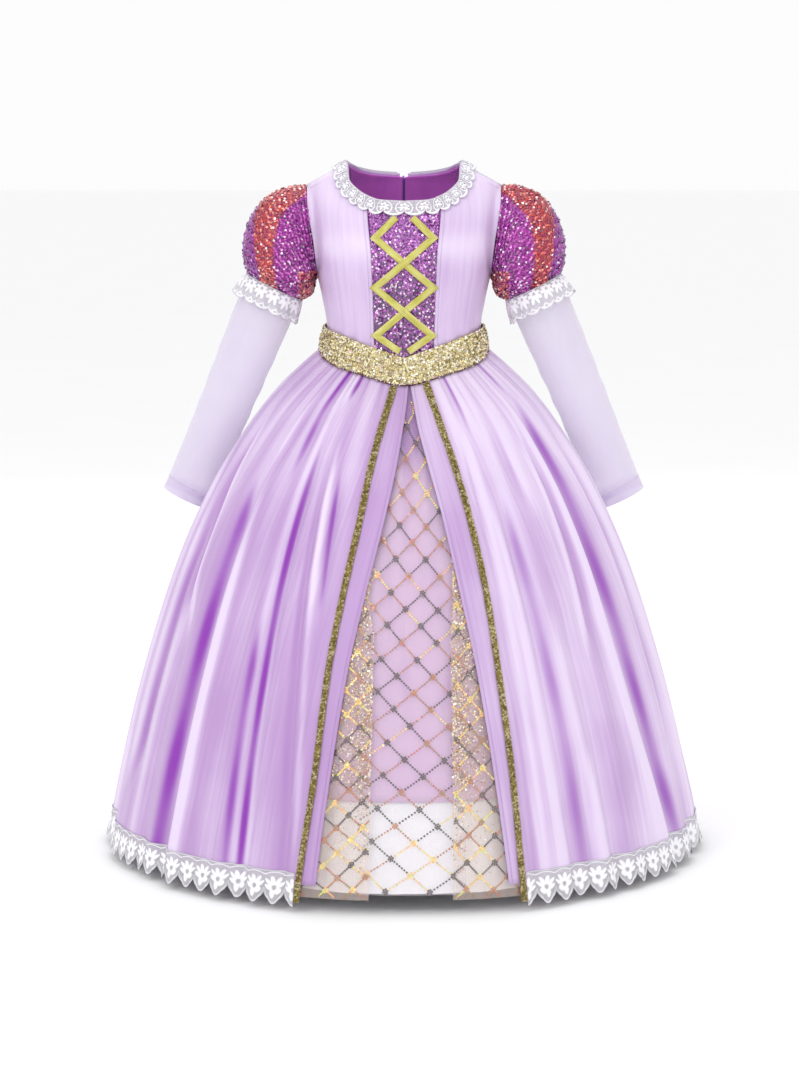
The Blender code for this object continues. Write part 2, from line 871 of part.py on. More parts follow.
def slider():
    """Slider body with a bridge that the pull hangs from."""
    spot, lean = slider_frame()
    bm = bmesh.new()
    made = bmesh.ops.create_cone(
        bm, cap_ends=True, segments=10, radius1=5.2 * MM, radius2=4.6 * MM, depth=1.4 * MM,
        matrix=Matrix.Rotation(-pi / 2, 4, 'X'))
    bmesh.ops.scale(bm, vec=(1.0, 1.0, 1.25), verts=made["verts"])
    body = add_object("zip_slider", bm, "zip_metal")
    arch = bmesh.new()
    outline = [(0, -4.2), (4.3, -4.2), (4.3, 4.2), (0, 4.2), (0, 3.0), (3.1, 3.0), (3.1, -3.0), (0, -3.0)]
    corners = [arch.verts.new((-1.0 * MM, y * MM, z * MM)) for y, z in outline]
    face = arch.faces.new(corners)
    grown = bmesh.ops.extrude_face_region(arch, geom=[face])
    moved = [item for item in grown["geom"] if isinstance(item, bmesh.types.BMVert)]
    bmesh.ops.translate(arch, vec=(2.0 * MM, 0, 0), verts=moved)
    bmesh.ops.recalc_face_normals(arch, faces=arch.faces)
    boolean(body, tool_object("bridge", arch, body), 'UNION')
    body.location = spot
    body.rotation_euler = (lean, 0, 0)
    return body


def pull():
    """Pull tab whose top bar lies under the bridge, hinged along X."""
    spot, lean = slider_frame()
    bm = bmesh.new()
    verts = add_block(bm, (8.0 * MM, 1.2 * MM, 25.0 * MM), (0, 0, -11.9 * MM))
    edges = [edge for edge in bm.edges if abs(edge.verts[0].co.y - edge.verts[1].co.y) > MM]
    bmesh.ops.bevel(bm, geom=edges, offset=1.2 * MM, segments=2, profile=0.5, affect='EDGES')
    body = add_object("zip_pull", bm, "zip_metal")
    window = bmesh.new()
    add_block(window, (4.6 * MM, 4.0 * MM, 6.0 * MM), (0, 0, -3.7 * MM))
    boolean(body, tool_object("pull_window", window, body), 'DIFFERENCE')
    axis = Vector((0, 2.0 * MM, 0))
    axis.rotate(Matrix.Rotation(lean, 3, 'X'))
    body.location = spot + axis
    body.rotation_euler = (lean, 0, 0)
    return body


def clear_scene():
    for obj in list(bpy.data.objects):
        bpy.data.objects.remove(obj, do_unlink=True)
    for mesh in list(bpy.data.meshes):
        bpy.data.meshes.remove(mesh)
    for made in list(bpy.data.materials):
        bpy.data.materials.remove(made)


clear_scene()
dress = bpy.data.collections.new("princess_dress")
tools = bpy.data.collections.new("tools")
bpy.context.scene.collection.children.link(dress)
bpy.context.scene.collection.children.link(tools)

stomacher()
bodice_side("bodice_front_left", FRONT_TOP, front_seam_x, -1, False)
bodice_side("bodice_front_right", FRONT_TOP, front_seam_x, -1, True)
bodice_side("bodice_back_left", BACK_TOP, back_seam_x, 1, False)
bodice_side("bodice_back_right", BACK_TOP, back_seam_x, 1, True)
back_lining("lining_back_left", False)
back_lining("lining_back_right", True)
neck_lace()
lacing("lacing_under", False)
lacing("lacing_over", True)
belt()

overskirt_front("overskirt_front_left", 1)
overskirt_front("overskirt_front_right", -1)
overskirt_back("overskirt_back_left", 1)
overskirt_back("overskirt_back_right", -1)
hem_lace("hem_lace_left", 1)
hem_lace("hem_lace_right", -1)
braid("braid_left", 1)
braid("braid_right", -1)
net_side("net_left", 1)
net_side("net_right", -1)
net_centre()
inner_skirt("underskirt", UNDERSKIRT_HEM_Z, 5.8, 9.8, 0.0, "pink_underskirt")
inner_skirt("petticoat_right", PETTICOAT_HEM_Z, 8.0, 12.6, 2.8, "white_net", last=15)
inner_skirt("petticoat_front", PETTICOAT_HEM_Z, 8.0, 12.6, 2.8, "white_net", first=15, last=29)
inner_skirt("petticoat_left", PETTICOAT_HEM_Z, 8.0, 12.6, 2.8, "white_net", first=29)

puff("puff_left", False)
puff("puff_right", True)
arm_lace("puff_lace_left", False)
arm_lace("puff_lace_right", True)
sleeve("sleeve_left", False)
sleeve("sleeve_right", True)

zip_strip("zip_tape", 12.0, -2.3, NET, "zip_tape")
zip_strip("zip_teeth", 2.4, 1.9, 2.0 * MM, "zip_metal")
slider()
pull()
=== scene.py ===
"""Folds, trimmings and finishes of a child's princess dress.

The dress stands filled out, faces -Y and has its own left side at +X. Each
cloth piece is a thin sheet on the form of its solid, with its creases listed
one by one, and the sequins, braid, lace and zip are laid on it.
"""

from bisect import bisect_right
from math import asin, atan2, cos, degrees, exp, pi, radians, sin, sqrt, tau

import bpy
import numpy as np
from bpy.props import FloatProperty, FloatVectorProperty, IntProperty, PointerProperty
from mathutils import Matrix, Vector


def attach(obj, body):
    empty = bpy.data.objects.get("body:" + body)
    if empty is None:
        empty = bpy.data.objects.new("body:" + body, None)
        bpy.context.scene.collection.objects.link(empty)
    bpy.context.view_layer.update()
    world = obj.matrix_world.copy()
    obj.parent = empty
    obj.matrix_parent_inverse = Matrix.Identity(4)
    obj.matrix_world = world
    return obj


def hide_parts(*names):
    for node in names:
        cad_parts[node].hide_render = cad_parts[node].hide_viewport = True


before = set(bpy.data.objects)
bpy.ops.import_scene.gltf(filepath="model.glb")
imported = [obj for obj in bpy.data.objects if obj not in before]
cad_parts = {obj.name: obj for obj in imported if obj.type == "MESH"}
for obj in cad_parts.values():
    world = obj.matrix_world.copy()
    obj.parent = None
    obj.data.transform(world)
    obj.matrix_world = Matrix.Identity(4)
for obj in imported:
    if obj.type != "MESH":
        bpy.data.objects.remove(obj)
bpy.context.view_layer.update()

bl_info = {
    "name": "Princess dress",
    "version": (1, 0, 0),
    "blender": (4, 5, 0),
    "location": "View3D > Sidebar > Dress",
    "description": "Folds, trimmings and finishes of a child's princess dress",
    "category": "Object",
}

MM = 0.001
SATIN_HEM = -797
LACE_TOP = -785
UNDERSKIRT_HEM = -707

# Torso under the bodice
TORSO = [
    # z, half_width, front, back
    (0, 68, 8, 20),
    (-13, 92, 30, 40),
    (-26, 116, 40, 50),
    (-46, 117.5, 53, 60),
    (-80, 117.6, 68, 68),
    (-110, 110, 77, 72),
    (-135, 103.5, 79, 73),
    (-165, 97, 79, 73),
    (-194, 92.5, 78, 74),
    (-262, 92.5, 78, 74),
]
TORSO_POWER = 2.3
FRONT_TOP = [
    # share, top_x, top_z
    (0.00, 43.6, -39.0),
    (0.17, 54.8, -31.6),
    (0.33, 64.4, -21.0),
    (0.50, 67.8, 0.0),
    (0.75, 92.0, -13.0),
    (1.00, 116.0, -26.0),
]
BACK_TOP = [
    # share, top_x, top_z
    (0.00, 5.0, -13.0),
    (0.22, 30.0, -11.5),
    (0.42, 50.0, -8.0),
    (0.60, 67.8, 0.0),
    (0.80, 92.0, -13.0),
    (1.00, 116.0, -26.0),
]
STOMACHER_TOP = [
    # x, z
    (0, -45.6),
    (14.5, -45.4),
    (28.4, -44.0),
    (43.0, -39.0),
]
STOMACHER_SEAM = [
    # z, x
    (-39, 43.0),
    (-90, 39.0),
    (-160, 36.0),
    (-230, 34.0),
]
WAIST = [
    # angle, top_z, bottom_z
    (0, -228.5, -261.5),
    (8, -224.0, -260.0),
    (15, -220.0, -256.5),
    (30, -212.5, -249.0),
    (50, -203.0, -241.5),
    (70, -197.5, -232.5),
    (90, -194.0, -222.5),
    (180, -190.0, -219.0),
]
BELT_LOW_WIDTH = 101
BELT_LOW_DEPTH = 82

# Skirt outline and split front, by share of the way down
SKIRT = [
    # t, half_width, depth_ratio
    (0.000, 103, 0.815),
    (0.030, 123, 0.833),
    (0.084, 155, 0.860),
    (0.160, 189, 0.895),
    (0.266, 228, 0.930),
    (0.420, 270, 0.957),
    (0.580, 302, 0.977),
    (0.780, 334, 0.990),
    (1.000, 361, 1.000),
    (1.060, 367, 1.000),
]
SPLIT = [
    # t, right_edge, left_edge, right_braid, left_braid
    (0.00, 2.8, 4.2, -6.6, 14.1),
    (0.084, -0.4, 6.0, -9.6, 15.6),
    (0.16, -2.6, 8.4, -11.4, 17.3),
    (0.266, -5.6, 11.1, -12.6, 18.8),
    (0.42, -9.4, 13.6, -14.8, 20.0),
    (0.58, -12.3, 15.8, -16.5, 20.5),
    (0.78, -14.3, 17.5, -17.4, 21.1),
    (1.00, -15.9, 18.9, -19.1, 21.4),
    (1.06, -16.1, 19.1, -19.3, 21.5),
]
NET_EDGE = [
    # t, right, left
    (0.00, -2.6, 9.0),
    (0.31, -7.3, 12.7),
    (0.42, -8.5, 11.8),
    (0.51, -6.9, 10.6),
    (1.06, -6.3, 8.5),
]
FOLD_DEPTH = [(0, 4.0), (0.03, 8.0), (0.084, 11.0), (0.266, 15.0), (1.0, 16.0), (1.06, 16.0)]

# Creases of the overskirt, each from its top to its end; painted_shade is how dark each is painted
CREASES = [
    # side, top, middle, hem, start, end, width, depth, painted_shade, lean
    (-1, 31.5, 31.3, 31.0, 0.10, 1.20, 1.9, 13.0, 1.00, 0.7),
    (-1, 34.6, 34.4, 33.6, 0.46, 1.20, 1.5, 6.0, 0.80, 1.2),
    (-1, 52.8, 51.4, 52.8, 0.20, 1.20, 2.1, 13.5, 0.95, 1.3),
    (-1, 72.0, 70.5, 69.5, 0.26, 0.92, 2.0, 9.0, 0.42, 0.8),
    (-1, 37.8, 37.0, 37.5, 0.00, 0.25, 2.1, 7.5, 1.00, 1.1),
    (-1, 22.3, 19.2, 16.0, 0.14, 0.52, 1.7, 7.0, 0.80, 0.8),
    (-1, 28.0, 24.6, 21.8, 0.10, 1.20, 1.2, 6.5, 0.28, 1.4),
    (-1, 28.2, 28.8, 29.0, 0.00, 0.06, 1.8, 4.0, 0.90, 1.0),
    (-1, 44.0, 49.6, 50.5, 0.02, 0.24, 1.8, 6.5, 0.30, 1.0),
    (-1, 76.5, 65.0, 60.0, 0.05, 0.62, 1.7, 7.0, 0.25, 1.2),
    (-1, 42.5, 42.0, 42.8, 0.30, 1.20, 3.4, 5.5, 0.08, 1.0),
    (-1, 61.0, 61.5, 61.0, 0.42, 1.20, 2.8, 8.0, 0.14, 0.8),
    (-1, 82.5, 82.0, 81.0, 0.16, 1.20, 2.6, 10.0, 0.20, 1.0),
    (1, 59.5, 57.6, 64.6, 0.03, 1.20, 2.4, 13.5, 0.72, 1.3),
    (1, 28.0, 31.4, 33.6, 0.20, 1.20, 1.9, 11.5, 0.55, 1.2),
    (1, 38.0, 36.5, 36.0, 0.04, 0.32, 2.0, 6.5, 0.35, 0.8),
    (1, 48.0, 45.0, 44.0, 0.05, 0.24, 1.5, 6.0, 0.45, 1.0),
    (1, 51.0, 48.5, 44.6, 0.10, 0.62, 1.4, 7.0, 0.35, 1.3),
    (1, 21.6, 22.4, 23.6, 0.06, 1.20, 1.7, 5.0, 0.42, 0.5),
    (1, 41.5, 40.8, 43.4, 0.44, 1.20, 2.4, 8.0, 0.22, 1.1),
    (1, 36.8, 36.8, 37.1, 0.74, 1.20, 1.7, 5.5, 0.30, 1.0),
    (1, 26.5, 24.4, 22.8, 0.00, 0.15, 1.7, 6.0, 0.95, 1.0),
    (1, 58.5, 55.0, 54.0, 0.00, 0.09, 2.0, 5.0, 0.85, 1.0),
    (1, 50.5, 51.5, 52.5, 0.40, 1.20, 3.2, 6.0, 0.05, 1.0),
    (1, 73.5, 74.0, 75.5, 0.12, 1.20, 2.6, 10.0, 0.18, 0.9),
    (1, 84.5, 84.0, 84.0, 0.22, 0.95, 2.0, 8.0, 0.12, 1.0),
    (-1, 99.0, 98.0, 97.0, 0.05, 1.20, 2.3, 11.0, 0.40, 1.1),
    (-1, 109.5, 110.5, 111.0, 0.16, 1.20, 2.6, 13.0, 0.75, 0.9),
    (-1, 121.0, 120.0, 119.5, 0.02, 0.66, 1.9, 9.0, 0.50, 1.2),
    (-1, 128.5, 129.5, 130.5, 0.30, 1.20, 2.7, 13.5, 0.85, 1.2),
    (-1, 141.0, 142.0, 142.5, 0.04, 1.20, 2.1, 10.0, 0.35, 0.8),
    (-1, 152.0, 152.5, 154.5, 0.14, 1.20, 2.6, 13.0, 0.80, 1.1),
    (-1, 162.5, 161.5, 161.0, 0.00, 0.48, 1.9, 8.0, 0.55, 1.0),
    (-1, 168.5, 169.5, 170.0, 0.22, 1.20, 2.1, 11.0, 0.45, 0.9),
    (1, 96.5, 97.5, 98.5, 0.12, 1.20, 2.5, 12.0, 0.55, 1.0),
    (1, 107.5, 107.0, 106.5, 0.03, 0.72, 1.9, 8.5, 0.35, 1.2),
    (1, 116.5, 117.5, 118.0, 0.20, 1.20, 2.7, 13.5, 0.80, 1.1),
    (1, 127.5, 126.5, 126.0, 0.05, 1.20, 2.0, 9.5, 0.40, 0.8),
    (1, 137.5, 138.5, 140.0, 0.10, 1.20, 2.5, 12.5, 0.70, 1.2),
    (1, 148.5, 148.0, 147.5, 0.02, 0.58, 1.9, 8.0, 0.50, 1.0),
    (1, 156.0, 157.0, 157.5, 0.26, 1.20, 2.5, 13.0, 0.85, 0.9),
    (1, 167.0, 167.5, 168.5, 0.08, 1.20, 2.1, 10.5, 0.45, 1.1),
]

# Puff sleeve, arm band and long sleeve
PUFF = [
    # share, outer_x, outer_z, inner_x, inner_z, depth, gather
    (0.000, 117.4, -25.5, 104.8, -136.5, 30.6, 0.3),
    (0.143, 130.0, -25.0, 106.4, -142.0, 42.0, 2.4),
    (0.286, 152.0, -31.0, 107.5, -148.0, 52.0, 2.6),
    (0.429, 172.0, -45.0, 110.0, -153.0, 57.0, 1.8),
    (0.571, 187.0, -68.0, 113.5, -157.5, 57.0, 1.4),
    (0.714, 194.0, -97.0, 117.5, -161.0, 52.0, 2.0),
    (0.857, 193.5, -120.0, 121.0, -163.0, 44.0, 2.4),
    (1.000, 188.0, -132.0, 123.5, -163.5, 37.0, 0.6),
]
ARM_TOP = Vector((155.7, 0, -147.8))
CUFF = Vector((271.6, 90, -415.0))
SLEEVE = [
    # share, half_width, half_depth
    (0.004, 35.2, 35.8),
    (0.15, 34.8, 34.8),
    (0.35, 33.5, 33.5),
    (0.55, 32.0, 32.5),
    (0.75, 31.2, 31.5),
    (0.95, 31.0, 31.0),
    (1.00, 31.5, 31.5),
]
ARM_LACE = [
    # share, along, half_width, half_depth, wave
    (0.0, 0.8, 36.1, 36.9, 0.6),
    (0.5, 14.0, 38.6, 39.4, 2.0),
    (1.0, 29.0, 41.0, 42.0, 3.6),
]

# Neck lace from the middle of the back round to the middle of the front
NECK_LACE = [
    # share, inner_x, inner_z, outer_x, outer_z, facing
    (0.0, 8.0, -12.9, 8.0, -31.0, 1),
    (0.1, 30.0, -11.5, 32.0, -29.5, 1),
    (0.2, 50.0, -8.0, 56.0, -25.0, 1),
    (0.3, 62.0, -4.0, 73.0, -17.5, 0.5),
    (0.4, 67.8, 0.0, 84.0, -8.7, 0),
    (0.5, 66.6, -12.0, 83.0, -20.5, -0.5),
    (0.6, 64.4, -21.0, 78.5, -32.0, -1),
    (0.7, 54.8, -31.6, 66.0, -46.0, -1),
    (0.8, 43.8, -38.6, 51.5, -55.0, -1),
    (0.9, 28.4, -44.0, 31.5, -61.5, -1),
    (1.0, 0.0, -45.6, 0.0, -63.0, -1),
]
NECK_SCALLOPS = 13

# Orange stripe on each puff
STRIPE = [
    # z, middle_x, half_width
    (-165, 160, 9),
    (-130, 163, 10),
    (-100, 166, 12),
    (-70, 164, 15),
    (-45, 150, 22),
    (-25, 128, 30),
]
LACING = [(-9.5, -64.5), (-34.0, -88.5), (0, -117.5), (34.0, -146), (0, -174), (-32.5, -202), (-5, -221)]
ZIP_END = -300

# Sequin lattice of each net panel: a node and the two steps between nodes
LATTICE = {
    # panel: angle, z, first_angle, first_z, second_angle, second_z
    "centre": (1.97, -589, 3.50, -18.4, -4.40, -17.0),
    "left": (11.05, -799.4, 2.35, -15.6, -2.75, -13.3),
    "right": (-9.2, -799.6, 2.75, -12.3, -2.35, -14.4),
}

# Cut sizes of the cloth in metres: width, length and area
CUT = {
    "bodice_front_left": (0.131, 0.234, 0.0186),
    "bodice_front_right": (0.131, 0.234, 0.0186),
    "bodice_back_left": (0.171, 0.224, 0.0254),
    "bodice_back_right": (0.171, 0.224, 0.0254),
    "stomacher": (0.089, 0.193, 0.0142),
    "lining_back_left": (0.068, 0.100, 0.0056),
    "lining_back_right": (0.068, 0.100, 0.0056),
    "neck_lace": (0.500, 0.022, 0.0095),
    "lacing_under": (0.260, 0.010, 0.0021),
    "lacing_over": (0.260, 0.010, 0.0021),
    "belt": (0.583, 0.039, 0.0185),
    "overskirt_front_left": (0.600, 0.642, 0.2900),
    "overskirt_back_left": (0.760, 0.655, 0.3570),
    "overskirt_front_right": (0.630, 0.644, 0.3050),
    "overskirt_back_right": (0.780, 0.654, 0.3620),
    "hem_lace_left": (1.000, 0.037, 0.0320),
    "hem_lace_right": (1.020, 0.037, 0.0330),
    "net_left": (0.081, 0.632, 0.0277),
    "net_right": (0.081, 0.631, 0.0260),
    "net_centre": (0.124, 0.625, 0.0614),
    "underskirt": (2.035, 0.553, 0.7683),
    "petticoat_right": (0.731, 0.654, 0.3319),
    "petticoat_front": (0.690, 0.631, 0.3070),
    "petticoat_left": (0.731, 0.654, 0.3319),
    "puff_left": (0.420, 0.160, 0.0400),
    "puff_right": (0.420, 0.160, 0.0400),
    "puff_lace_left": (0.345, 0.030, 0.0084),
    "puff_lace_right": (0.345, 0.030, 0.0084),
    "sleeve_left": (0.223, 0.307, 0.0615),
    "sleeve_right": (0.223, 0.307, 0.0615),
    "zip_tape": (0.024, 0.321, 0.0077),
}

GRIDS = {}
SLOPES = {}


# Curves and forms

def slopes(xs, ys):
    """Slopes of a smooth curve that keeps to the table's rises and falls."""
    steps = [(b - a) / (d - c) for a, b, c, d in zip(ys, ys[1:], xs, xs[1:])]
    made = [steps[0]]
    for first, second in zip(steps, steps[1:]):
        if first * second <= 0:
            made.append(0.0)
        else:
            made.append(2 * first * second / (first + second))
    made.append(steps[-1])
    return made


def read(table, at, column=1):
    """Smooth value of one column of a table at a place in its first."""
    key = (id(table), column)
    if key not in SLOPES:
        rows = sorted(table)
        xs = [row[0] for row in rows]
        ys = [row[column] for row in rows]
        SLOPES[key] = xs, ys, slopes(xs, ys)
    xs, ys, tilt = SLOPES[key]
    if at <= xs[0]:
        return ys[0]
    if at >= xs[-1]:
        return ys[-1]
    k = bisect_right(xs, at) - 1
    wide = xs[k + 1] - xs[k]
    p = (at - xs[k]) / wide
    q = 1 - p
    return (q * q * (1 + 2 * p) * ys[k] + p * p * (3 - 2 * p) * ys[k + 1]
            + p * q * q * wide * tilt[k] - p * p * q * wide * tilt[k + 1])


def blend(a, b, part):
    return a + (b - a) * part


def ease(value, low, high):
    part = min(1.0, max(0.0, (value - low) / (high - low)))
    return part * part * (3 - 2 * part)


def torso_value(x, y, z, facing):
    half = read(TORSO, z, 1)
    deep = read(TORSO, z, 3 if facing > 0 else 2)
    return (abs(x) / half) ** TORSO_POWER + (abs(y) / deep) ** TORSO_POWER


def torso(x, z, facing, lift=0.0):
    """Point on the torso at x and z in mm, facing -1 front or 1 back."""
    half = read(TORSO, z, 1)
    deep = read(TORSO, z, 3 if facing > 0 else 2)
    share = min(1.0, abs(x) / half)
    y = facing * deep * (1 - share ** TORSO_POWER) ** (1 / TORSO_POWER)
    spot = Vector((x, y, z))
    if lift:
        step = 1.5
        spot += Vector((
            torso_value(x + step, y, z, facing) - torso_value(x - step, y, z, facing),
            torso_value(x, y + step, z, facing) - torso_value(x, y - step, z, facing),
            torso_value(x, y, z + step, facing) - torso_value(x, y, z - step, facing),
        )).normalized() * lift
    return spot * MM


def belt_top_z(x, facing):
    angle = degrees(asin(min(1.0, abs(x) / 92.5)))
    return read(WAIST, 180 - angle if facing > 0 else angle, 1)


def armhole_x(z):
    if z > -135:
        return blend(103.5, 116, (z + 135) / 109)
    return read(TORSO, z, 1)


def waist_point(angle, down, lift=0.0):
    """Point on the belt, down from 0 at its top to 1 at its lower edge."""
    turn = radians(angle)
    facing = 1 if abs(angle) > 90 else -1
    top = torso(92.5 * sin(turn), read(WAIST, abs(angle), 1), facing, 2.5 + lift)
    low = Vector((
        (BELT_LOW_WIDTH + lift) * sin(turn),
        -(BELT_LOW_DEPTH + lift) * cos(turn),
        read(WAIST, abs(angle), 2) + 0.4,
    )) * MM
    return top.lerp(low, down)


def skirt(t, angle, inset=0.0):
    """Point on the skirt outline, t of the way down, inset in mm."""
    turn = radians(angle)
    half = read(SKIRT, t, 1)
    top = read(WAIST, abs(angle), 2) - 0.4
    return Vector((
        (half - inset) * sin(turn),
        -(half * read(SKIRT, t, 2) - inset) * cos(turn),
        top + (SATIN_HEM - top) * t,
    )) * MM


def share_at(z, angle):
    top = read(WAIST, abs(angle), 2) - 0.4
    return (z - top) / (SATIN_HEM - top)


def split_angle(t, side, column):
    right, left = {"edge": (1, 2), "braid": (3, 4)}[column]
    return read(SPLIT, t, left) if side > 0 else -read(SPLIT, t, right)


def braid_half(t, wide=8.0):
    return degrees(wide / 2 / (read(SKIRT, t, 1) * read(SKIRT, t, 2)))


def small_gathers(side):
    """Short gathers under the belt: angle, reach down, depth and painted shade."""
    rng = np.random.default_rng(31 if side > 0 else 47)
    rows = []
    angle = 24.0 if side > 0 else 14.0
    while angle < 178:
        rows.append((angle, rng.uniform(0.05, 0.20), rng.uniform(1.8, 4.0), rng.uniform(0.0, 0.45)))
        angle += rng.uniform(3.2, 6.2)
    return rows


GATHERS = {1: small_gathers(1), -1: small_gathers(-1)}


def drape(side, angle, t):
    """Inset, painted crease shade and painted highlight of the gathered satin at one place."""
    flat = ease(angle, split_angle(t, side, "braid") + braid_half(t), split_angle(t, side, "braid") + 4.5)
    back = 1 - ease(angle, 174, 178.5)
    inset, shade_and_hem, light = 0.0, 0.0, 0.0
    for mine, top, middle, hem, start, end, width, depth, strength, lean in CREASES:
        if mine != side or t < start - 0.001 or t > end:
            continue
        q = min(1.0, t)
        centre = top * (1 - q) * (1 - 2 * q) + middle * 4 * q * (1 - q) + hem * q * (2 * q - 1)
        off = (angle - centre) / width
        if abs(off) > 4:
            continue
        grow = ease(t, start - 0.01, start + 0.14) * (1 - ease(t, end - 0.14, end))
        if start < 0.01:
            grow = max(grow, 1 - ease(t, 0.02, end))
        bend = off / (lean if off > 0 else 2 - lean)
        sink = exp(-abs(bend) ** 1.7)
        shift = 0.85 * sin(radians(2 * centre))
        inset += depth * grow * sink * (0.72 if strength > 0.5 else 0.9)
        # Painted shade: violet colour along the bottom of each crease, shifted to one flank and broken along its
        # length.
        broken = 0.86 + 0.14 * sin(23 * t + 0.4 * centre)
        shade_and_hem += strength * grow * broken * exp(-((bend - shift) / 0.62) ** 2)
        # Painted highlight beside each crease.
        light += 0.5 * grow * exp(-((off + 1.7 * (1 if lean > 1 else -1)) / 0.75) ** 2)
    for centre, reach, depth, strength in GATHERS[side]:
        off = (angle - centre - 3 * t) / 1.25
        if abs(off) > 3 or t > reach:
            continue
        grow = 1 - ease(t, 0.01, reach)
        sink = exp(-off * off)
        inset += depth * grow * sink
        # Painted shade along each small gather.
        shade_and_hem += strength * grow * exp(-(off / 0.6) ** 2)
    wave = 1.1 * sin(angle * 0.42 + 1.3 * side) + 0.8 * sin(angle * 0.97 + 2.1 * t + side)
    inset += (1.9 + wave) * ease(t, 0.05, 0.4)
    # Painted highlight: soft bands round the skirt and a lighter top near the waist.
    light += 0.30 * (0.5 + 0.5 * sin(angle * 0.55 + 2.4 * side + 1.1 * t)) + 0.35 * (1 - ease(t, 0.05, 0.35))
    deep = min(inset, read(FOLD_DEPTH, t) * 1.02)
    return deep * flat * back, min(1.0, shade_and_hem) * flat * back, min(1.0, light) * (0.4 + 0.6 * flat)


def inner_inset(t, angle, start, full, extra):
    """Inset of an inner skirt layer: close at the split, clear of the folds."""
    near = blend(start, full, ease(t, 0, 0.1))
    far = read(FOLD_DEPTH, t) + 3.0 + extra
    edge = 9 + 4.5 * ease(t, 0, 0.5)
    return blend(near, far, ease(abs(angle - 2.0), edge, edge + 9))


def arm_across():
    outer = PUFF[-1]
    return Vector((outer[1] - outer[3], 0, outer[2] - outer[4])).normalized()


def back_line(z, x, lift):
    """Point inside the back wall at height z, lifted outwards in mm."""
    if z >= -190:
        return torso(x, z, 1, lift)
    top = torso(x, -190, 1)
    if z >= -219:
        part = (-190 - z) / 29
        y = blend(top.y / MM, BELT_LOW_DEPTH, part)
        return Vector((x, y + lift * 0.97, z - lift * 0.2)) * MM
    t = (z + 219.4) / (SATIN_HEM + 219.4)
    half = read(SKIRT, t, 1)
    y = half * read(SKIRT, t, 2) * sqrt(1 - (x / half) ** 2) - 0.9
    return Vector((x, y + lift * 0.9, z + lift * 0.4)) * MM


# Shaders

class Wire:
    """A shader socket that takes part in sums."""

    def __init__(self, finish, socket):
        self.finish = finish
        self.socket = socket

    def maths(self, operation, *others, clamp=False):
        settings = {"operation": operation, "use_clamp": clamp}
        return self.finish.node("ShaderNodeMath", settings, dict(enumerate((self, *others))))

    def reflected(self, operation, other):
        return self.finish.node("ShaderNodeMath", {"operation": operation}, {0: other, 1: self})

    def __add__(self, other):
        return self.maths("ADD", other)

    __radd__ = __add__

    def __mul__(self, other):
        return self.maths("MULTIPLY", other)

    __rmul__ = __mul__

    def __sub__(self, other):
        return self.maths("SUBTRACT", other)

    def __rsub__(self, other):
        return self.reflected("SUBTRACT", other)

    def __truediv__(self, other):
        return self.maths("DIVIDE", other)

    def __rtruediv__(self, other):
        return self.reflected("DIVIDE", other)

    def sine(self):
        return self.maths("SINE")

    def size(self):
        return self.maths("ABSOLUTE")

    def fraction(self):
        return self.maths("FRACT")

    def power(self, other):
        return self.maths("POWER", other)

    def top(self, other):
        return self.maths("MAXIMUM", other)

    def low(self, other):
        return self.maths("MINIMUM", other)

    def step(self, start, end):
        """0 before start, 1 after end and smooth between."""
        settings = {"interpolation_type": 'SMOOTHSTEP'}
        return self.finish.node("ShaderNodeMapRange", settings, {"Value": self, 1: start, 2: end})


class Finish:
    """Material of one cloth or trimming."""

    def __init__(self, name, colour, roughness, **fixed):
        self.material = bpy.data.materials.new(name)
        self.material.use_nodes = True
        self.tree = self.material.node_tree
        self.shader = self.tree.nodes["Principled BSDF"]
        self.set({"Base Color": colour, "Roughness": roughness, **fixed})

    def feed(self, node, sockets):
        for key, value in sockets.items():
            target = node.inputs[key]
            if isinstance(value, Wire):
                self.tree.links.new(value.socket, target)
            elif target.type == 'RGBA':
                target.default_value = (*value[:3], 1)
            else:
                target.default_value = value

    def node(self, kind, settings=None, sockets=None, output=0):
        made = self.tree.nodes.new(kind)
        for key, value in (settings or {}).items():
            setattr(made, key, value)
        self.feed(made, sockets or {})
        return Wire(self, made.outputs[output])

    def set(self, sockets):
        self.feed(self.shader, sockets)

    def mix(self, part, a, b):
        return self.node("ShaderNodeMix", {"data_type": 'RGBA'}, {0: part, 6: a, 7: b}, output=2)

    def mark(self, name):
        return self.node("ShaderNodeAttribute", {"attribute_name": name}, output=2)

    def paint(self):
        return self.node("ShaderNodeAttribute", {"attribute_name": "paint"}, output=0)

    def cloth(self):
        """Places along and down the cloth in mm."""
        where = self.node("ShaderNodeUVMap", {"uv_map": "cloth"})
        along = self.node("ShaderNodeSeparateXYZ", {}, {0: where}, output=0)
        down = self.node("ShaderNodeSeparateXYZ", {}, {0: where}, output=1)
        return along * 1000, down * 1000

    def place(self, x, y, z=0.0):
        return self.node("ShaderNodeCombineXYZ", {}, {0: x, 1: y, 2: z})

    def solid_place(self):
        return self.node("ShaderNodeTexCoord", output=3)

    def noise(self, vector, scale, detail=3.0):
        return self.node("ShaderNodeTexNoise", {}, {"Vector": vector, "Scale": scale, "Detail": detail})

    def cells(self, vector, scale, output=0):
        return self.node("ShaderNodeTexVoronoi", {}, {"Vector": vector, "Scale": scale}, output=output)

    def relief(self, height, distance, strength=1.0):
        bump = self.node("ShaderNodeBump", {}, {"Height": height, "Distance": distance, "Strength": strength})
        self.set({"Normal": bump})


def dress():
    return bpy.context.scene.dress_looks


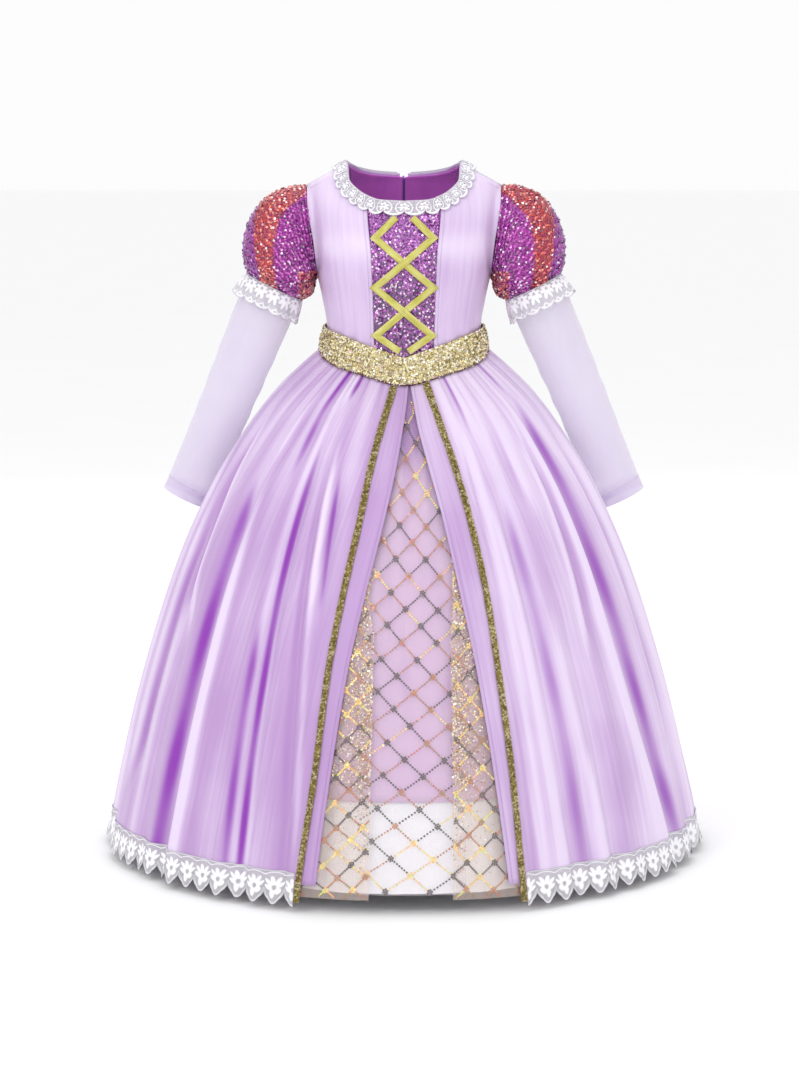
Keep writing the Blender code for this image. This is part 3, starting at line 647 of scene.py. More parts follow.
def satin_finish(name, tone=0.0):
    """Soft satin: lavender with painted highlights and painted violet shade in the creases."""
    looks = dress()
    made = Finish(name, looks.satin, 0.30, **{
        "Sheen Weight": 0.25, "Sheen Roughness": 0.4, "Anisotropic": 0.45, "Specular IOR Level": 0.55})
    along, down = made.cloth()
    streak = made.noise(made.place(along * 0.11, down * 0.006), 1.0, 4.0)
    cloud = made.noise(made.solid_place(), 9.0, 2.0)
    # Painted highlight: the light mark with random streaks and clouds; tone adds painted light over the whole piece.
    light = made.mark("light") + (streak - 0.5) * 0.55 + (cloud - 0.5) * 0.5 + tone
    base = made.mix(light.step(0.0, 1.0), looks.satin, looks.satin_light)
    # Painted shade: the crease mark turns the colour violet in the creases.
    shade_and_hem = (made.mark("shade_and_hem") + (streak - 0.5) * 0.10).step(0.03, 0.95)
    made.set({"Base Color": made.mix(shade_and_hem, base, looks.satin_crease_shade), "Roughness": 0.28 + 0.14 * cloud})
    thread = (along * (tau / 0.7)).sine() * 0.4 + (down * (tau / 0.5) + along * 2.0).sine() * 0.6
    made.relief(thread, 0.00003, 0.35)
    return made.material


def sequin_finish(name, rough=0.2, metallic=0.55):
    """Foil discs, each with its own colour."""
    made = Finish(name, (0.5, 0.3, 0.5), rough, **{"Metallic": metallic, "Coat Weight": 0.3, "Coat Roughness": 0.1})
    grain = made.noise(made.solid_place(), 900.0, 2.0)
    made.set({"Base Color": made.mix(grain * 0.25, made.paint(), (0.9, 0.85, 0.9)), "Roughness": rough + 0.12 * grain})
    return made.material


def ground_finish(name, colour, dark, scale=420.0, stripe=None):
    """Cloth under sequins: small overlapping cells with glints."""
    made = Finish(name, colour, 0.35, **{"Metallic": 0.25})
    where = made.solid_place()
    shade = made.cells(where, scale, output=0)
    base = made.mix(made.mark("light"), colour, stripe) if stripe else colour
    made.set({"Base Color": made.mix(shade.step(0.15, 0.75), dark, base)})
    made.relief(shade, 0.0006, 0.8)
    return made.material


def lace_finish(name, colour, pitch, depth):
    """White lace: net ground, a flower in each scallop and a corded edge."""
    made = Finish(name, colour, 0.75, **{"Sheen Weight": 0.3})
    along, down = made.cloth()
    first = ((along + down * 0.6) / 1.35).fraction() - 0.5
    second = ((along - down * 0.6) / 1.35).fraction() - 0.5
    ground = 1 - (first.size().low(second.size())).step(0.06, 0.20)
    x = (((along / pitch) + 0.5).fraction() - 0.5) * pitch
    y = down - depth * 0.52
    radius = (x * x + y * y).power(0.5)
    angle = made.node("ShaderNodeMath", {"operation": 'ARCTAN2'}, {0: y, 1: x})
    petals = (angle * 3.5).sine().size()
    reach = depth * (0.17 + 0.17 * petals)
    flower = (1 - (radius - reach).step(-0.2, 0.5)) * (radius.step(depth * 0.05, depth * 0.09))
    ring = 1 - ((radius - depth * 0.46).size()).step(0.35, 0.9)
    heading = 1 - down.step(1.2, 2.0)
    holes = ((along / 3.4).fraction() - 0.5).size().step(0.16, 0.24)
    edge = down.step(depth - 1.9, depth - 1.2)
    solid = ground.top(flower).top(ring).top(heading * holes).top(edge)
    made.set({"Alpha": 0.36 + 0.64 * solid, "Base Color": made.mix(solid, (0.86, 0.83, 0.90), colour)})
    made.relief(solid, 0.0005, 0.9)
    return made.material


def net_finish(name, colour, cell, cover, rough=0.8, shade=(0.8, 0.7, 0.8)):
    """Open net: threads across a see-through ground."""
    made = Finish(name, colour, rough, **{"Sheen Weight": 0.2})
    along, down = made.cloth()
    first = ((along + down) / cell).fraction() - 0.5
    second = ((along - down) / cell).fraction() - 0.5
    threads = 1 - (first.size().low(second.size())).step(0.10, 0.24)
    cloud = made.noise(made.place(along * 0.05, down * 0.012), 1.0, 3.0)
    made.set({
        "Alpha": cover * (0.62 + 0.4 * cloud) + (0.30 * (1 - cover)) * threads,
        "Base Color": made.mix(cloud, shade, colour),
    })
    made.relief(threads, 0.0002, 0.5)
    return made.material


def mesh_finish(name, colour, edge):
    """Sheer sleeve mesh, closer along the turned hem."""
    made = Finish(name, colour, 0.6, **{"Sheen Weight": 0.5, "Sheen Roughness": 0.5})
    along, down = made.cloth()
    rib = (along * (tau / 1.3)).sine() * (down * (tau / 1.3)).sine()
    cloud = made.noise(made.place(along * 0.03, down * 0.008), 1.0, 3.0)
    hem = made.mark("shade_and_hem")
    made.set({
        "Alpha": (0.60 + 0.08 * rib + 0.14 * (cloud - 0.5) + 0.26 * hem).low(1.0),
        "Base Color": made.mix((cloud * 0.6 + hem * 0.5).low(1.0), colour, edge),
    })
    made.relief(rib, 0.0002, 0.4)
    return made.material


def ribbon_finish(name, colour, light):
    """Narrow satin ribbon with ribs across it."""
    made = Finish(name, colour, 0.32, **{"Sheen Weight": 0.2, "Anisotropic": 0.5, "Metallic": 0.1})
    along, down = made.cloth()
    rib = (along * (tau / 0.6)).sine()
    edge = (down - 4).size().step(3.3, 3.8)
    cloud = made.noise(made.place(along * 0.05, down * 0.2), 1.0, 2.0)
    made.set({"Base Color": made.mix(cloud.step(0.3, 0.7), colour, light), "Roughness": 0.26 + 0.2 * edge})
    made.relief(rib * 0.4 + edge, 0.00012, 0.7)
    return made.material


def thread_finish(name, colour, dark, metallic=0.0, rough=0.6, twist=1.2):
    """Twisted thread or cord."""
    made = Finish(name, colour, rough, **{"Metallic": metallic, "Sheen Weight": 0.2})
    along, down = made.cloth()
    strands = ((along + down * 2) * (tau / twist)).sine()
    glint = made.noise(made.solid_place(), 700.0, 2.0)
    made.set({"Base Color": made.mix((strands * 0.35 + glint).step(0.15, 0.9), dark, colour)})
    made.relief(strands, 0.0002, 0.8)
    return made.material


def braid_finish(name):
    """Gold cord with dark turns and painted glints as light specks."""
    made = Finish(name, dress().braid, 0.3, **{"Metallic": 0.35, "Coat Weight": 0.2})
    along, down = made.cloth()
    strands = ((along + down * 2) * (tau / 1.1)).sine()
    specks = made.cells(made.solid_place(), 520.0, output=1)
    level = made.node("ShaderNodeSeparateColor", {}, {0: specks})
    base = made.mix((strands * 0.3 + level).step(0.05, 0.55), (0.13, 0.09, 0.015), dress().braid)
    # Painted glints: the lightest cells turn pale gold.
    made.set({"Base Color": made.mix(level.step(0.70, 0.84), base, (0.95, 0.86, 0.52))})
    made.relief(strands, 0.0003, 0.9)
    return made.material


def woven_finish(name, colour, dark, cell, rough=0.55, sheen=0.2):
    """Plain woven cloth."""
    made = Finish(name, colour, rough, **{"Sheen Weight": sheen})
    along, down = made.cloth()
    weave = (along * (tau / cell)).sine() * (down * (tau / cell)).sine()
    cloud = made.noise(made.place(along * 0.04, down * 0.01), 1.0, 4.0)
    # Random clouds and the painted shade mark turn the colour dark.
    base = made.mix((cloud * 0.9 + made.mark("shade_and_hem")).step(0.25, 1.0), colour, dark)
    made.set({"Base Color": base, "Roughness": rough - 0.1 + 0.2 * cloud})
    made.relief(weave, 0.00008, 0.5)
    return made.material


def metal_finish(name, colour, dark):
    """Lacquered zip metal with worn edges."""
    made = Finish(name, colour, 0.3, **{"Metallic": 0.7, "Coat Weight": 0.3, "Coat Roughness": 0.15})
    wear = made.noise(made.solid_place(), 600.0, 4.0)
    made.set({"Base Color": made.mix(wear.step(0.4, 0.7), colour, dark), "Roughness": 0.24 + 0.2 * wear})
    made.relief(wear, 0.00005, 0.4)
    return made.material


# Pieces

def add_mesh(name, points, faces, finish, places=None, marks=None, paints=None, smooth=True):
    mesh = bpy.data.meshes.new(name)
    mesh.from_pydata(points, [], faces)
    if places is not None:
        layer = mesh.uv_layers.new(name="cloth")
        corners = np.empty(len(mesh.loops), dtype=np.int32)
        mesh.loops.foreach_get("vertex_index", corners)
        layer.data.foreach_set("uv", np.asarray(places, dtype=np.float32)[corners].ravel())
    for key, values in (marks or {}).items():
        mark = mesh.attributes.new(key, 'FLOAT', 'POINT')
        mark.data.foreach_set("value", np.asarray(values, dtype=np.float32))
    if paints is not None:
        mark = mesh.attributes.new("paint", 'FLOAT_COLOR', 'POINT')
        mark.data.foreach_set("color", np.asarray(paints, dtype=np.float32).ravel())
    mesh.polygons.foreach_set("use_smooth", [smooth] * len(mesh.polygons))
    mesh.materials.append(finish)
    mesh.update()
    obj = bpy.data.objects.new(name, mesh)
    bpy.context.scene.collection.objects.link(obj)
    return obj


def on_dress(obj, *nodes):
    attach(obj, "dress")
    if nodes:
        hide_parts(*nodes)
    return obj


def cloth(name, columns, rows, place, finish, size, ring=False, mirror=False, thick=0.0, outward=False):
    """Sheet from a grid; place(u, v) gives a point with its two colour marks.

    Columns run to the right and rows run down, seen from outside.
    """
    points, places, shades_and_hems, lights = [], [], [], []
    for j in range(rows + 1):
        for i in range(columns + 1):
            found = place(i / columns, j / rows)
            spot, shade_and_hem, light = found if isinstance(found, tuple) else (found, 0.0, 0.0)
            points.append((-spot.x if mirror else spot.x, spot.y, spot.z))
            places.append((size[0] * i / columns, size[1] * j / rows))
            shades_and_hems.append(shade_and_hem)
            lights.append(light)
    full = np.array(points).reshape(rows + 1, columns + 1, 3)
    GRIDS[name] = full
    faces = []
    for j in range(rows):
        for i in range(columns):
            a = j * (columns + 1) + i
            face = (a, a + columns + 1, a + columns + 2, a + 1)
            faces.append(face[::-1] if mirror else face)
    if ring:
        full[:, -1] = full[:, 0]
        points = [tuple(p) for p in full.reshape(-1, 3)]
    # The second mark holds painted shade on most pieces and the turned hem on the sleeves; the light mark holds painted
    # highlights on the satin and the orange stripe on the puffs.
    obj = add_mesh(name + "_cloth", points, faces, finish, places, {"shade_and_hem": shades_and_hems, "light": lights})
    if thick:
        wall = obj.modifiers.new("thickness", 'SOLIDIFY')
        wall.thickness = thick
        wall.offset = 1.0 if outward else -1.0
    return obj


def area_of(obj):
    return sum(face.area for face in obj.data.polygons)


def declare(obj):
    """Read the cut of a cloth piece from its own table row, which nothing uses; print a row for a piece that has none.
    """
    name = obj.name.removesuffix("_cloth")
    if name in CUT:
        width, length, area = CUT[name]
    else:
        grid = GRIDS[name]
        width = float(np.linalg.norm(np.diff(grid, axis=1), axis=2).sum(1).max())
        length = float(np.linalg.norm(np.diff(grid, axis=0), axis=2).sum(0).max())
        area = min(area_of(obj), width * length)
        print(f'CUT "{name}": ({width:.3f}, {length:.3f}, {area:.4f}),')
    return obj


def tube(points, radius, sides=6, flat=1.0, closed=False):
    """Points, faces and places of a thin cord along a line."""
    line = np.array(points, dtype=float)
    ahead = np.gradient(line, axis=0)
    ahead /= np.linalg.norm(ahead, axis=1)[:, None] + 1e-12
    out = np.column_stack([line[:, 0], line[:, 1], np.zeros(len(line))])
    out /= np.linalg.norm(out, axis=1)[:, None] + 1e-12
    out -= ahead * (out * ahead).sum(1)[:, None]
    out /= np.linalg.norm(out, axis=1)[:, None] + 1e-12
    side = np.cross(ahead, out)
    turn = np.arange(sides) * tau / sides
    ring = side[:, None] * np.cos(turn)[None, :, None] + out[:, None] * (np.sin(turn) * flat)[None, :, None]
    verts = (line[:, None] + radius * ring).reshape(-1, 3)
    length = np.concatenate([[0], np.cumsum(np.linalg.norm(np.diff(line, axis=0), axis=1))])
    places = np.stack(np.broadcast_arrays(length[:, None], (turn * radius)[None, :]), axis=2).reshape(-1, 2)
    faces = []
    for k in range(len(line) - 1):
        for s in range(sides):
            a, b = k * sides + s, k * sides + (s + 1) % sides
            faces.append((a, b, b + sides, a + sides))
    faces.append(tuple(range(sides))[::-1])
    faces.append(tuple(range(len(verts) - sides, len(verts))))
    return verts, faces, places


def join_parts(parts):
    """One set of points, faces and places from several."""
    points, faces, places, start = [], [], [], 0
    for verts, shape, where in parts:
        points.append(verts)
        places.append(where)
        faces += [tuple(k + start for k in face) for face in shape]
        start += len(verts)
    return np.concatenate(points), faces, np.concatenate(places)


def cords(name, lines, radius, finish, sides=6, flat=1.0):
    points, faces, places = join_parts([tube(line, radius, sides, flat) for line in lines])
    return add_mesh(name, points.tolist(), faces, finish, places)


def stitches(name, lines, pitch, finish, radius=0.00022, share=0.62):
    """Rows of short stitches, each a small thread over the cloth."""
    parts = []
    for line in lines:
        line = np.array(line, dtype=float)
        run = np.concatenate([[0], np.cumsum(np.linalg.norm(np.diff(line, axis=0), axis=1))])
        for start in np.arange(0, run[-1] - pitch, pitch):
            stops = np.linspace(start, start + pitch * share, 4)
            spots = np.column_stack([np.interp(stops, run, line[:, c]) for c in range(3)])
            parts.append(tube(spots, radius, 4))
    points, faces, places = join_parts(parts)
    return add_mesh(name, points.tolist(), faces, finish, places)


def sample(grid, v, u):
    """Points and the two directions of a grid at shares down and along."""
    rows, columns = grid.shape[0] - 1, grid.shape[1] - 1
    y, x = np.clip(v, 0, 1) * rows, np.clip(u, 0, 1) * columns
    j, i = np.minimum(y.astype(int), rows - 1), np.minimum(x.astype(int), columns - 1)
    p, q = (y - j)[:, None], (x - i)[:, None]
    a, b, c, d = grid[j, i], grid[j, i + 1], grid[j + 1, i], grid[j + 1, i + 1]
    spot = (a * (1 - q) + b * q) * (1 - p) + (c * (1 - q) + d * q) * p
    right = (b - a) * (1 - p) + (d - c) * p
    down = (c - a) * (1 - q) + (d - b) * q
    return spot, right, down


def unit(rows):
    return rows / (np.linalg.norm(rows, axis=1)[:, None] + 1e-12)


def discs(name, spots, right, out, radius, paints, finish, sides=6, seed=1, lean=0.25):
    """Flat round sequins, each tipped a little its own way."""
    rng = np.random.default_rng(seed)
    count = len(spots)
    out = unit(out + rng.normal(0, lean, (count, 3)))
    first = unit(right - out * (right * out).sum(1)[:, None])
    second = np.cross(out, first)
    turn = np.arange(sides) * tau / sides
    sizes = np.broadcast_to(radius, (count,))[:, None, None]
    rim = spots[:, None] + sizes * (
        first[:, None] * np.cos(turn)[None, :, None] + second[:, None] * np.sin(turn)[None, :, None])
    faces = np.arange(count * sides).reshape(count, sides).tolist()
    colours = np.repeat(np.column_stack([paints, np.ones(count)]), sides, axis=0)
    return add_mesh(name, rim.reshape(-1, 3).tolist(), faces, finish, paints=colours, smooth=False)


def cover(grid, pitch, seed, jitter=0.25):
    """Shares down and along for sequins in staggered rows over a grid."""
    rng = np.random.default_rng(seed)
    middle = grid[:, grid.shape[1] // 2]
    run = np.concatenate([[0], np.cumsum(np.linalg.norm(np.diff(middle, axis=0), axis=1))])
    count = int(run[-1] / (pitch * 0.87))
    downs, alongs = [], []
    for k in range(count):
        v = np.interp((k + 0.5) / count * run[-1], run, np.linspace(0, 1, len(run)))
        j = int(round(v * (grid.shape[0] - 1)))
        line = np.concatenate([[0], np.cumsum(np.linalg.norm(np.diff(grid[j], axis=0), axis=1))])
        many = int(line[-1] / pitch)
        stops = (np.arange(many) + 0.25 + 0.5 * (k % 2) + rng.uniform(-jitter, jitter, many)) / many * line[-1]
        alongs.append(np.interp(stops, line, np.linspace(0, 1, len(line))))
        downs.append(v + rng.uniform(-jitter, jitter, many) / count)
    return np.concatenate(downs), np.concatenate(alongs)


def sequins(name, source, pitch, radius, choose, finish, seed, mirror=False, lift=0.0006, lean=0.28):
    """Sequins all over a cloth piece; choose gives colours by place."""
    grid = GRIDS[source]
    v, u = cover(grid, pitch, seed)
    spot, right, down = sample(grid, v, u)
    out = unit(np.cross(down, right))
    if mirror:
        out = -out
    rng = np.random.default_rng(seed + 5)
    paints = choose(v, u, rng)
    return discs(name, spot + out * lift, unit(right), out, radius, paints, finish, seed=seed + 9, lean=lean)


def pick(rng, count, shares):
    """Colours drawn from a list of (share, colour)."""
    weights = np.array([share for share, colour in shares], dtype=float)
    found = rng.choice(len(shares), count, p=weights / weights.sum())
    colours = np.array([colour for share, colour in shares], dtype=float)[found]
    return np.clip(colours * rng.uniform(0.8, 1.2, (count, 1)), 0, 1)


# Sizes and colours that can be changed

def colour(name, description, default):
    return FloatVectorProperty(name=name, description=description, default=default, size=3,
                               min=0.0, max=1.0, subtype='COLOR')


def length(name, description, default):
    return FloatProperty(name=name, description=description, default=default, min=0.0,
                         unit='LENGTH', subtype='DISTANCE')


class DressLooks(bpy.types.PropertyGroup):
    """Colours of the dress."""

    satin: colour("Satin", "Lavender satin", (0.47, 0.285, 0.57))
    # Satin light is the painted highlight colour; the crease colour below it is painted shade.
    satin_light: colour("Satin light", "Satin where it catches the light", (0.77, 0.645, 0.85))
    satin_crease_shade: colour("Satin creases", "Satin deep in a crease", (0.26, 0.025, 0.42))
    underskirt: colour("Underskirt", "Pink lavender underskirt", (0.66, 0.44, 0.66))
    lining: colour("Lining", "Magenta lining in the neck", (0.78, 0.17, 0.80))
    lace: colour("Lace", "White lace", (0.90, 0.89, 0.93))
    ribbon: colour("Ribbon", "Olive gold ribbon", (0.50, 0.46, 0.06))
    braid: colour("Braid", "Gold braid", (0.66, 0.50, 0.13))
    mesh: colour("Sleeve mesh", "Lavender white mesh", (0.86, 0.80, 0.94))


class DressSizes(bpy.types.PropertyGroup):
    """Sizes of the trimmings."""

    sequin: length("Sequin", "Width of a sequin on the cloth", 0.0030)
    net_sequin: length("Net sequin", "Width of a sequin on the net", 0.0030)
    ribbon: length("Ribbon", "Width of the lacing", 0.0080)
    braid: length("Braid", "Width of the gold braid", 0.0080)
    stitch: length("Stitch", "Length from one stitch to the next", 0.0032)
    glitter: IntProperty(name="Glitter", description="Glitter pieces in each band of the net",
                         default=3200, min=0, max=8000)


# Operators

class DRESS_OT_bodice(bpy.types.Operator):
    """Satin front and back pieces of the bodice"""

    bl_idname = "dress.bodice"
    bl_label = "Bodice"

    def execute(self, context):
        # The bodice satin has painted light added over the whole piece.
        satin = satin_finish("bodice satin", 0.55)
        thread = thread_finish("bodice thread", (0.70, 0.60, 0.78), (0.45, 0.33, 0.55))
        for name, tops, facing, mirror in (
                ("bodice_front_left", FRONT_TOP, -1, False), ("bodice_front_right", FRONT_TOP, -1, True),
                ("bodice_back_left", BACK_TOP, 1, False), ("bodice_back_right", BACK_TOP, 1, True)):
            self.side(name, tops, facing, mirror, satin, thread)
        return {'FINISHED'}

    def side(self, name, tops, facing, mirror, satin, thread):
        def inner(z):
            if facing > 0:
                return 5.0 - 2.0 * min(1.0, max(0.0, (-13 - z) / 27))
            return read(STOMACHER_SEAM, z) + 0.6

        phase = 1.7 if mirror else 0.0

        def place(u, v):
            if facing > 0:
                u = 1 - u
            top_x, top_z = read(tops, u, 1), read(tops, u, 2)
            low_z = belt_top_z(blend(inner(-210), 92.5, u), facing) - 5
            if u > 0.999:
                low_z = -199
            z = blend(top_z, low_z, v)
            lower = blend(inner(z), armhole_x(z), u)
            x = blend(top_x, lower, ease(v, 0, 0.4) if v < 0.4 else 1.0)
            pull = 0.0
            if 0.02 < u < 0.98:
                pull = 0.5 * exp(-((v - 0.62 - 0.05 * sin(phase + u * 5)) / 0.05) ** 2) * sin(u * pi)
                pull += 0.9 * ease(v, 0.78, 1.0) * sin(u * 21 + phase) * sin(u * pi)
                pull += 0.7 * exp(-((u - 0.86) / 0.07) ** 2) * sin(v * 30 + phase) * ease(v, 0.45, 0.6)
            spot = torso(x, z, facing, 0.05 + pull)
            rise = min(1.0, max(-1.0, (z + 80.5) / 54.5))
            edge = ease(u, 0.995 - 0.195 * sqrt(1 - rise * rise), 1.0)
            if z > -135 and edge > 0:
                y = facing * (30 * sqrt(1 - rise * rise) + 0.4) * MM
                spot.y = blend(spot.y, y, edge)
            if abs(spot.y) < 0.0004:
                spot.y = facing * 0.0004
            # Painted highlight: a band across the chest and a lighter top; painted shade towards the armhole side.
            light = 0.35 * exp(-((z + 98) / 16) ** 2) + 0.22 * ease(z, -90, -20)
            return spot, 0.05 * ease(u, 0.9, 1.0), light

        obj = cloth(name, 44, 56, place, satin, (0.11, 0.20), mirror=mirror, thick=0.0007, outward=True)
        grid = GRIDS[name]
        inner_line = grid[2:, 3 if facing < 0 else -4]
        top_line = grid[2, 2:-2]
        out = unit(grid.reshape(-1, 3) * np.array([0.4, 1.0, 0.0])).reshape(grid.shape)
        lift = 0.0009
        rows = [inner_line + out[2:, 3 if facing < 0 else -4] * lift, top_line + out[2, 2:-2] * lift]
        seam = on_dress(stitches(name + "_stitches", rows, dress_sizes().stitch, thread))
        on_dress(obj, name)
        declare(obj)


def dress_sizes():
    return bpy.context.scene.dress_sizes


class DRESS_OT_centre_front(bpy.types.Operator):
    """Sequin centre front of the bodice"""

    bl_idname = "dress.centre_front"
    bl_label = "Centre front"

    def execute(self, context):
        ground = ground_finish("centre cloth", (0.28, 0.03, 0.32), (0.07, 0.006, 0.10))
        foil = sequin_finish("centre sequins", 0.18)

        def place(u, v):
            across = 2 * u - 1
            top_z = read(STOMACHER_TOP, abs(across) * 43.0)
            low_z = belt_top_z(34 * across, -1) - 5
            z = blend(top_z, low_z, v)
            return torso(across * read(STOMACHER_SEAM, z), z, -1, 0.1)

        obj = cloth("stomacher", 40, 60, place, ground, (0.08, 0.18), thick=0.0007, outward=True)

        def choose(v, u, rng):
            # The near-white discs in both sets are painted glints; the lower part takes more of the darker set.
            light = pick(rng, len(v), [
                (48, (0.46, 0.07, 0.50)), (22, (0.34, 0.04, 0.40)), (14, (0.60, 0.18, 0.64)),
                (10, (0.12, 0.015, 0.18)), (6, (0.90, 0.66, 0.92))])
            dark = pick(rng, len(v), [
                (34, (0.30, 0.025, 0.32)), (40, (0.07, 0.008, 0.11)), (10, (0.52, 0.12, 0.50)), (12, (0.95, 0.72, 0.92))])
            part = np.clip((v - 0.25) / 0.35, 0, 1)[:, None]
            return np.where(rng.uniform(0, 1, (len(v), 1)) < part, dark, light)

        size = dress_sizes().sequin
        top = on_dress(sequins("stomacher_sequins", "stomacher", size * 0.80, size * 0.46, choose, foil, 11,
                               lift=0.0014, lean=0.34))
        on_dress(obj, "stomacher")
        declare(obj)
        return {'FINISHED'}


class DRESS_OT_neck_lining(bpy.types.Operator):
    """Magenta lining inside the back of the neck"""

    bl_idname = "dress.neck_lining"
    bl_label = "Neck lining"

    def execute(self, context):
        silk = woven_finish("neck lining", dress().lining, (0.50, 0.08, 0.58), 0.6, rough=0.4)
        for name, mirror in (("lining_back_left", False), ("lining_back_right", True)):
            def place(u, v):
                x = blend(66.5, 1.6, u)
                top_z = read(LINING_TOP, x) - 0.6
                z = blend(top_z, -92, v)
                near = 1.1 * (1 - ease(x, 2, 8))
                # Painted shade: the lining darkens towards its lower part, deeper inside the back.
                return torso(x, z, 1, -3.6 - near - 0.5 * sin(x * 0.21 + 2 * mirror) * v), 0.45 * ease(v, 0.5, 1.0), 0.0

            obj = cloth(name, 36, 36, place, silk, (0.065, 0.085), mirror=mirror, thick=0.0006)
            on_dress(obj, name)
            declare(obj)
        return {'FINISHED'}


LINING_TOP = [(0, -13), (30, -11.5), (50, -8), (67.8, 0)]


class DRESS_OT_neck_lace(bpy.types.Operator):
    """Scalloped lace round the neck opening"""

    bl_idname = "dress.neck_lace"
    bl_label = "Neck lace"

    def execute(self, context):
        half = 0.250
        pitch = half * 1000 / NECK_SCALLOPS
        lace = lace_finish("neck lace", dress().lace, pitch, 17.0)
        thread = thread_finish("lace cord", dress().lace, (0.70, 0.67, 0.76), rough=0.8, twist=1.6)

        def spot_at(u, part, lift=2.4):
            across = abs(2 * u - 1)
            share = 1 - across
            side = -1 if u < 0.5 else 1
            row = [read(NECK_LACE, share, k) for k in range(1, 6)]
            x, z, facing = blend(row[0], row[2], part), blend(row[1], row[3], part), row[4]
            x = min(x, read(TORSO, z, 1))
            found = torso(x, z, 1 if facing > 0 else -1, lift + 2.4 * (1 - abs(facing)))
            found.x *= side
            return found

        def reach(u):
            beat = (1 - abs(2 * u - 1)) * NECK_SCALLOPS
            return 0.66 + 0.34 * sqrt(abs(sin(pi * beat)))

        def place(u, v):
            beat = (1 - abs(2 * u - 1)) * NECK_SCALLOPS
            return spot_at(u, v * reach(u), 2.5 + 0.8 * v + 0.35 * sin(tau * beat) * v), 0.0, 0.0

        obj = cloth("neck_lace", 416, 12, place, lace, (2 * half, 0.018))
        edge = [spot_at(k / 624, reach(k / 624), 3.5) for k in range(625)]
        inner = [spot_at(k / 624, 0.30 + 0.12 * abs(sin(pi * (1 - abs(k / 312 - 1)) * NECK_SCALLOPS * 2)), 3.0)
                 for k in range(625)]
        top = [spot_at(k / 312, 0.03, 2.7) for k in range(313)]
        cord = on_dress(cords("neck_lace_cord", [edge, top], 0.00055, thread, 6))
        fine = on_dress(cords("neck_lace_loops", [inner], 0.00032, thread, 5))
        on_dress(obj, "neck_lace")
        declare(obj)
        return {'FINISHED'}


class DRESS_OT_lacing(bpy.types.Operator):
    """Crossed ribbon lacing on the centre front"""

    bl_idname = "dress.lacing"
    bl_label = "Lacing"

    def execute(self, context):
        satin = ribbon_finish("lacing ribbon", dress().ribbon, (0.66, 0.62, 0.20))
        for name, mirror in (("lacing_under", False), ("lacing_over", True)):
            self.ribbon(name, mirror, satin)
        return {'FINISHED'}

    def ribbon(self, name, mirror, satin):
        path = [Vector((x, z, 0)) for x, z in LACING]
        half = dress_sizes().ribbon / MM / 2
        edges = []
        for k, point in enumerate(path):
            before = (point - path[k - 1]).normalized() if k else None
            after = (path[k + 1] - point).normalized() if k + 1 < len(path) else None
            way = ((before or after) + (after or before)).normalized()
            across = Vector((-way.y, way.x, 0))
            square = Vector((-(before or after).y, (before or after).x, 0))
            span = half / max(0.5, across.dot(square))
            edges.append((point + across * span, point - across * span))
        legs = len(path) - 1

        def place(u, v):
            leg = min(legs - 1, int(u * legs))
            part = u * legs - leg
            low = edges[leg][1].lerp(edges[leg + 1][1], part)
            high = edges[leg][0].lerp(edges[leg + 1][0], part)
            spot = high.lerp(low, v)
            turn = min(part, 1 - part) if 0 < leg < legs - 1 or 0.1 < part < 0.9 else 0.3
            lift = 2.3 + 0.35 * sin(pi * v) - 0.5 * exp(-(turn / 0.05) ** 2)
            if mirror:
                nearest = min(abs(spot.y - z) for z in (-117.5, -174.0))
                lift += 1.3 * (1 - ease(nearest, 7, 15)) + 1.3 * ease(-spot.y, 206, 214)
            return torso(spot.x, spot.y, -1, lift)

        obj = cloth(name, 180, 6, place, satin, (0.26, 0.008), mirror=mirror, thick=0.0004, outward=True)
        on_dress(obj, name)
        declare(obj)


class DRESS_OT_belt(bpy.types.Operator):
    """Gold sequin belt with a dipped front"""

    bl_idname = "dress.belt"
    bl_label = "Belt"

    def execute(self, context):
        ground = ground_finish("belt cloth", (0.64, 0.53, 0.24), (0.26, 0.19, 0.07))
        foil = sequin_finish("belt sequins", 0.22, 0.6)
        piping = thread_finish("belt piping", (0.28, 0.04, 0.08), (0.10, 0.01, 0.03))
        end = 177.7

        def place(u, v):
            angle = -end + 2 * end * u
            fold = 0.9 * exp(-(angle / 1.2) ** 2) + 0.5 * sin(angle * 0.35) * sin(pi * v)
            crown = 1.1 * sin(pi * v)
            return waist_point(angle, v, 0.5 + crown - fold)

        obj = cloth("belt", 240, 14, place, ground, (0.58, 0.036), thick=0.0008, outward=True)

        def choose(v, u, rng):
            # The near-white discs are painted glints.
            return pick(rng, len(v), [
                (38, (0.78, 0.66, 0.26)), (24, (0.90, 0.82, 0.48)), (10, (0.50, 0.38, 0.12)),
                (6, (0.20, 0.14, 0.04)), (18, (0.98, 0.95, 0.80)), (4, (0.80, 0.52, 0.50))])

        size = dress_sizes().sequin
        top = on_dress(sequins("belt_sequins", "belt", size * 0.78, size * 0.44, choose, foil, 23,
                               lift=0.0015, lean=0.36))
        low = [waist_point(-end + 2 * end * k / 360, 0.985, 1.7) for k in range(361)]
        cord = on_dress(cords("belt_piping", [low], 0.0007, piping, 6))
        on_dress(obj, "belt")
        declare(obj)
        return {'FINISHED'}


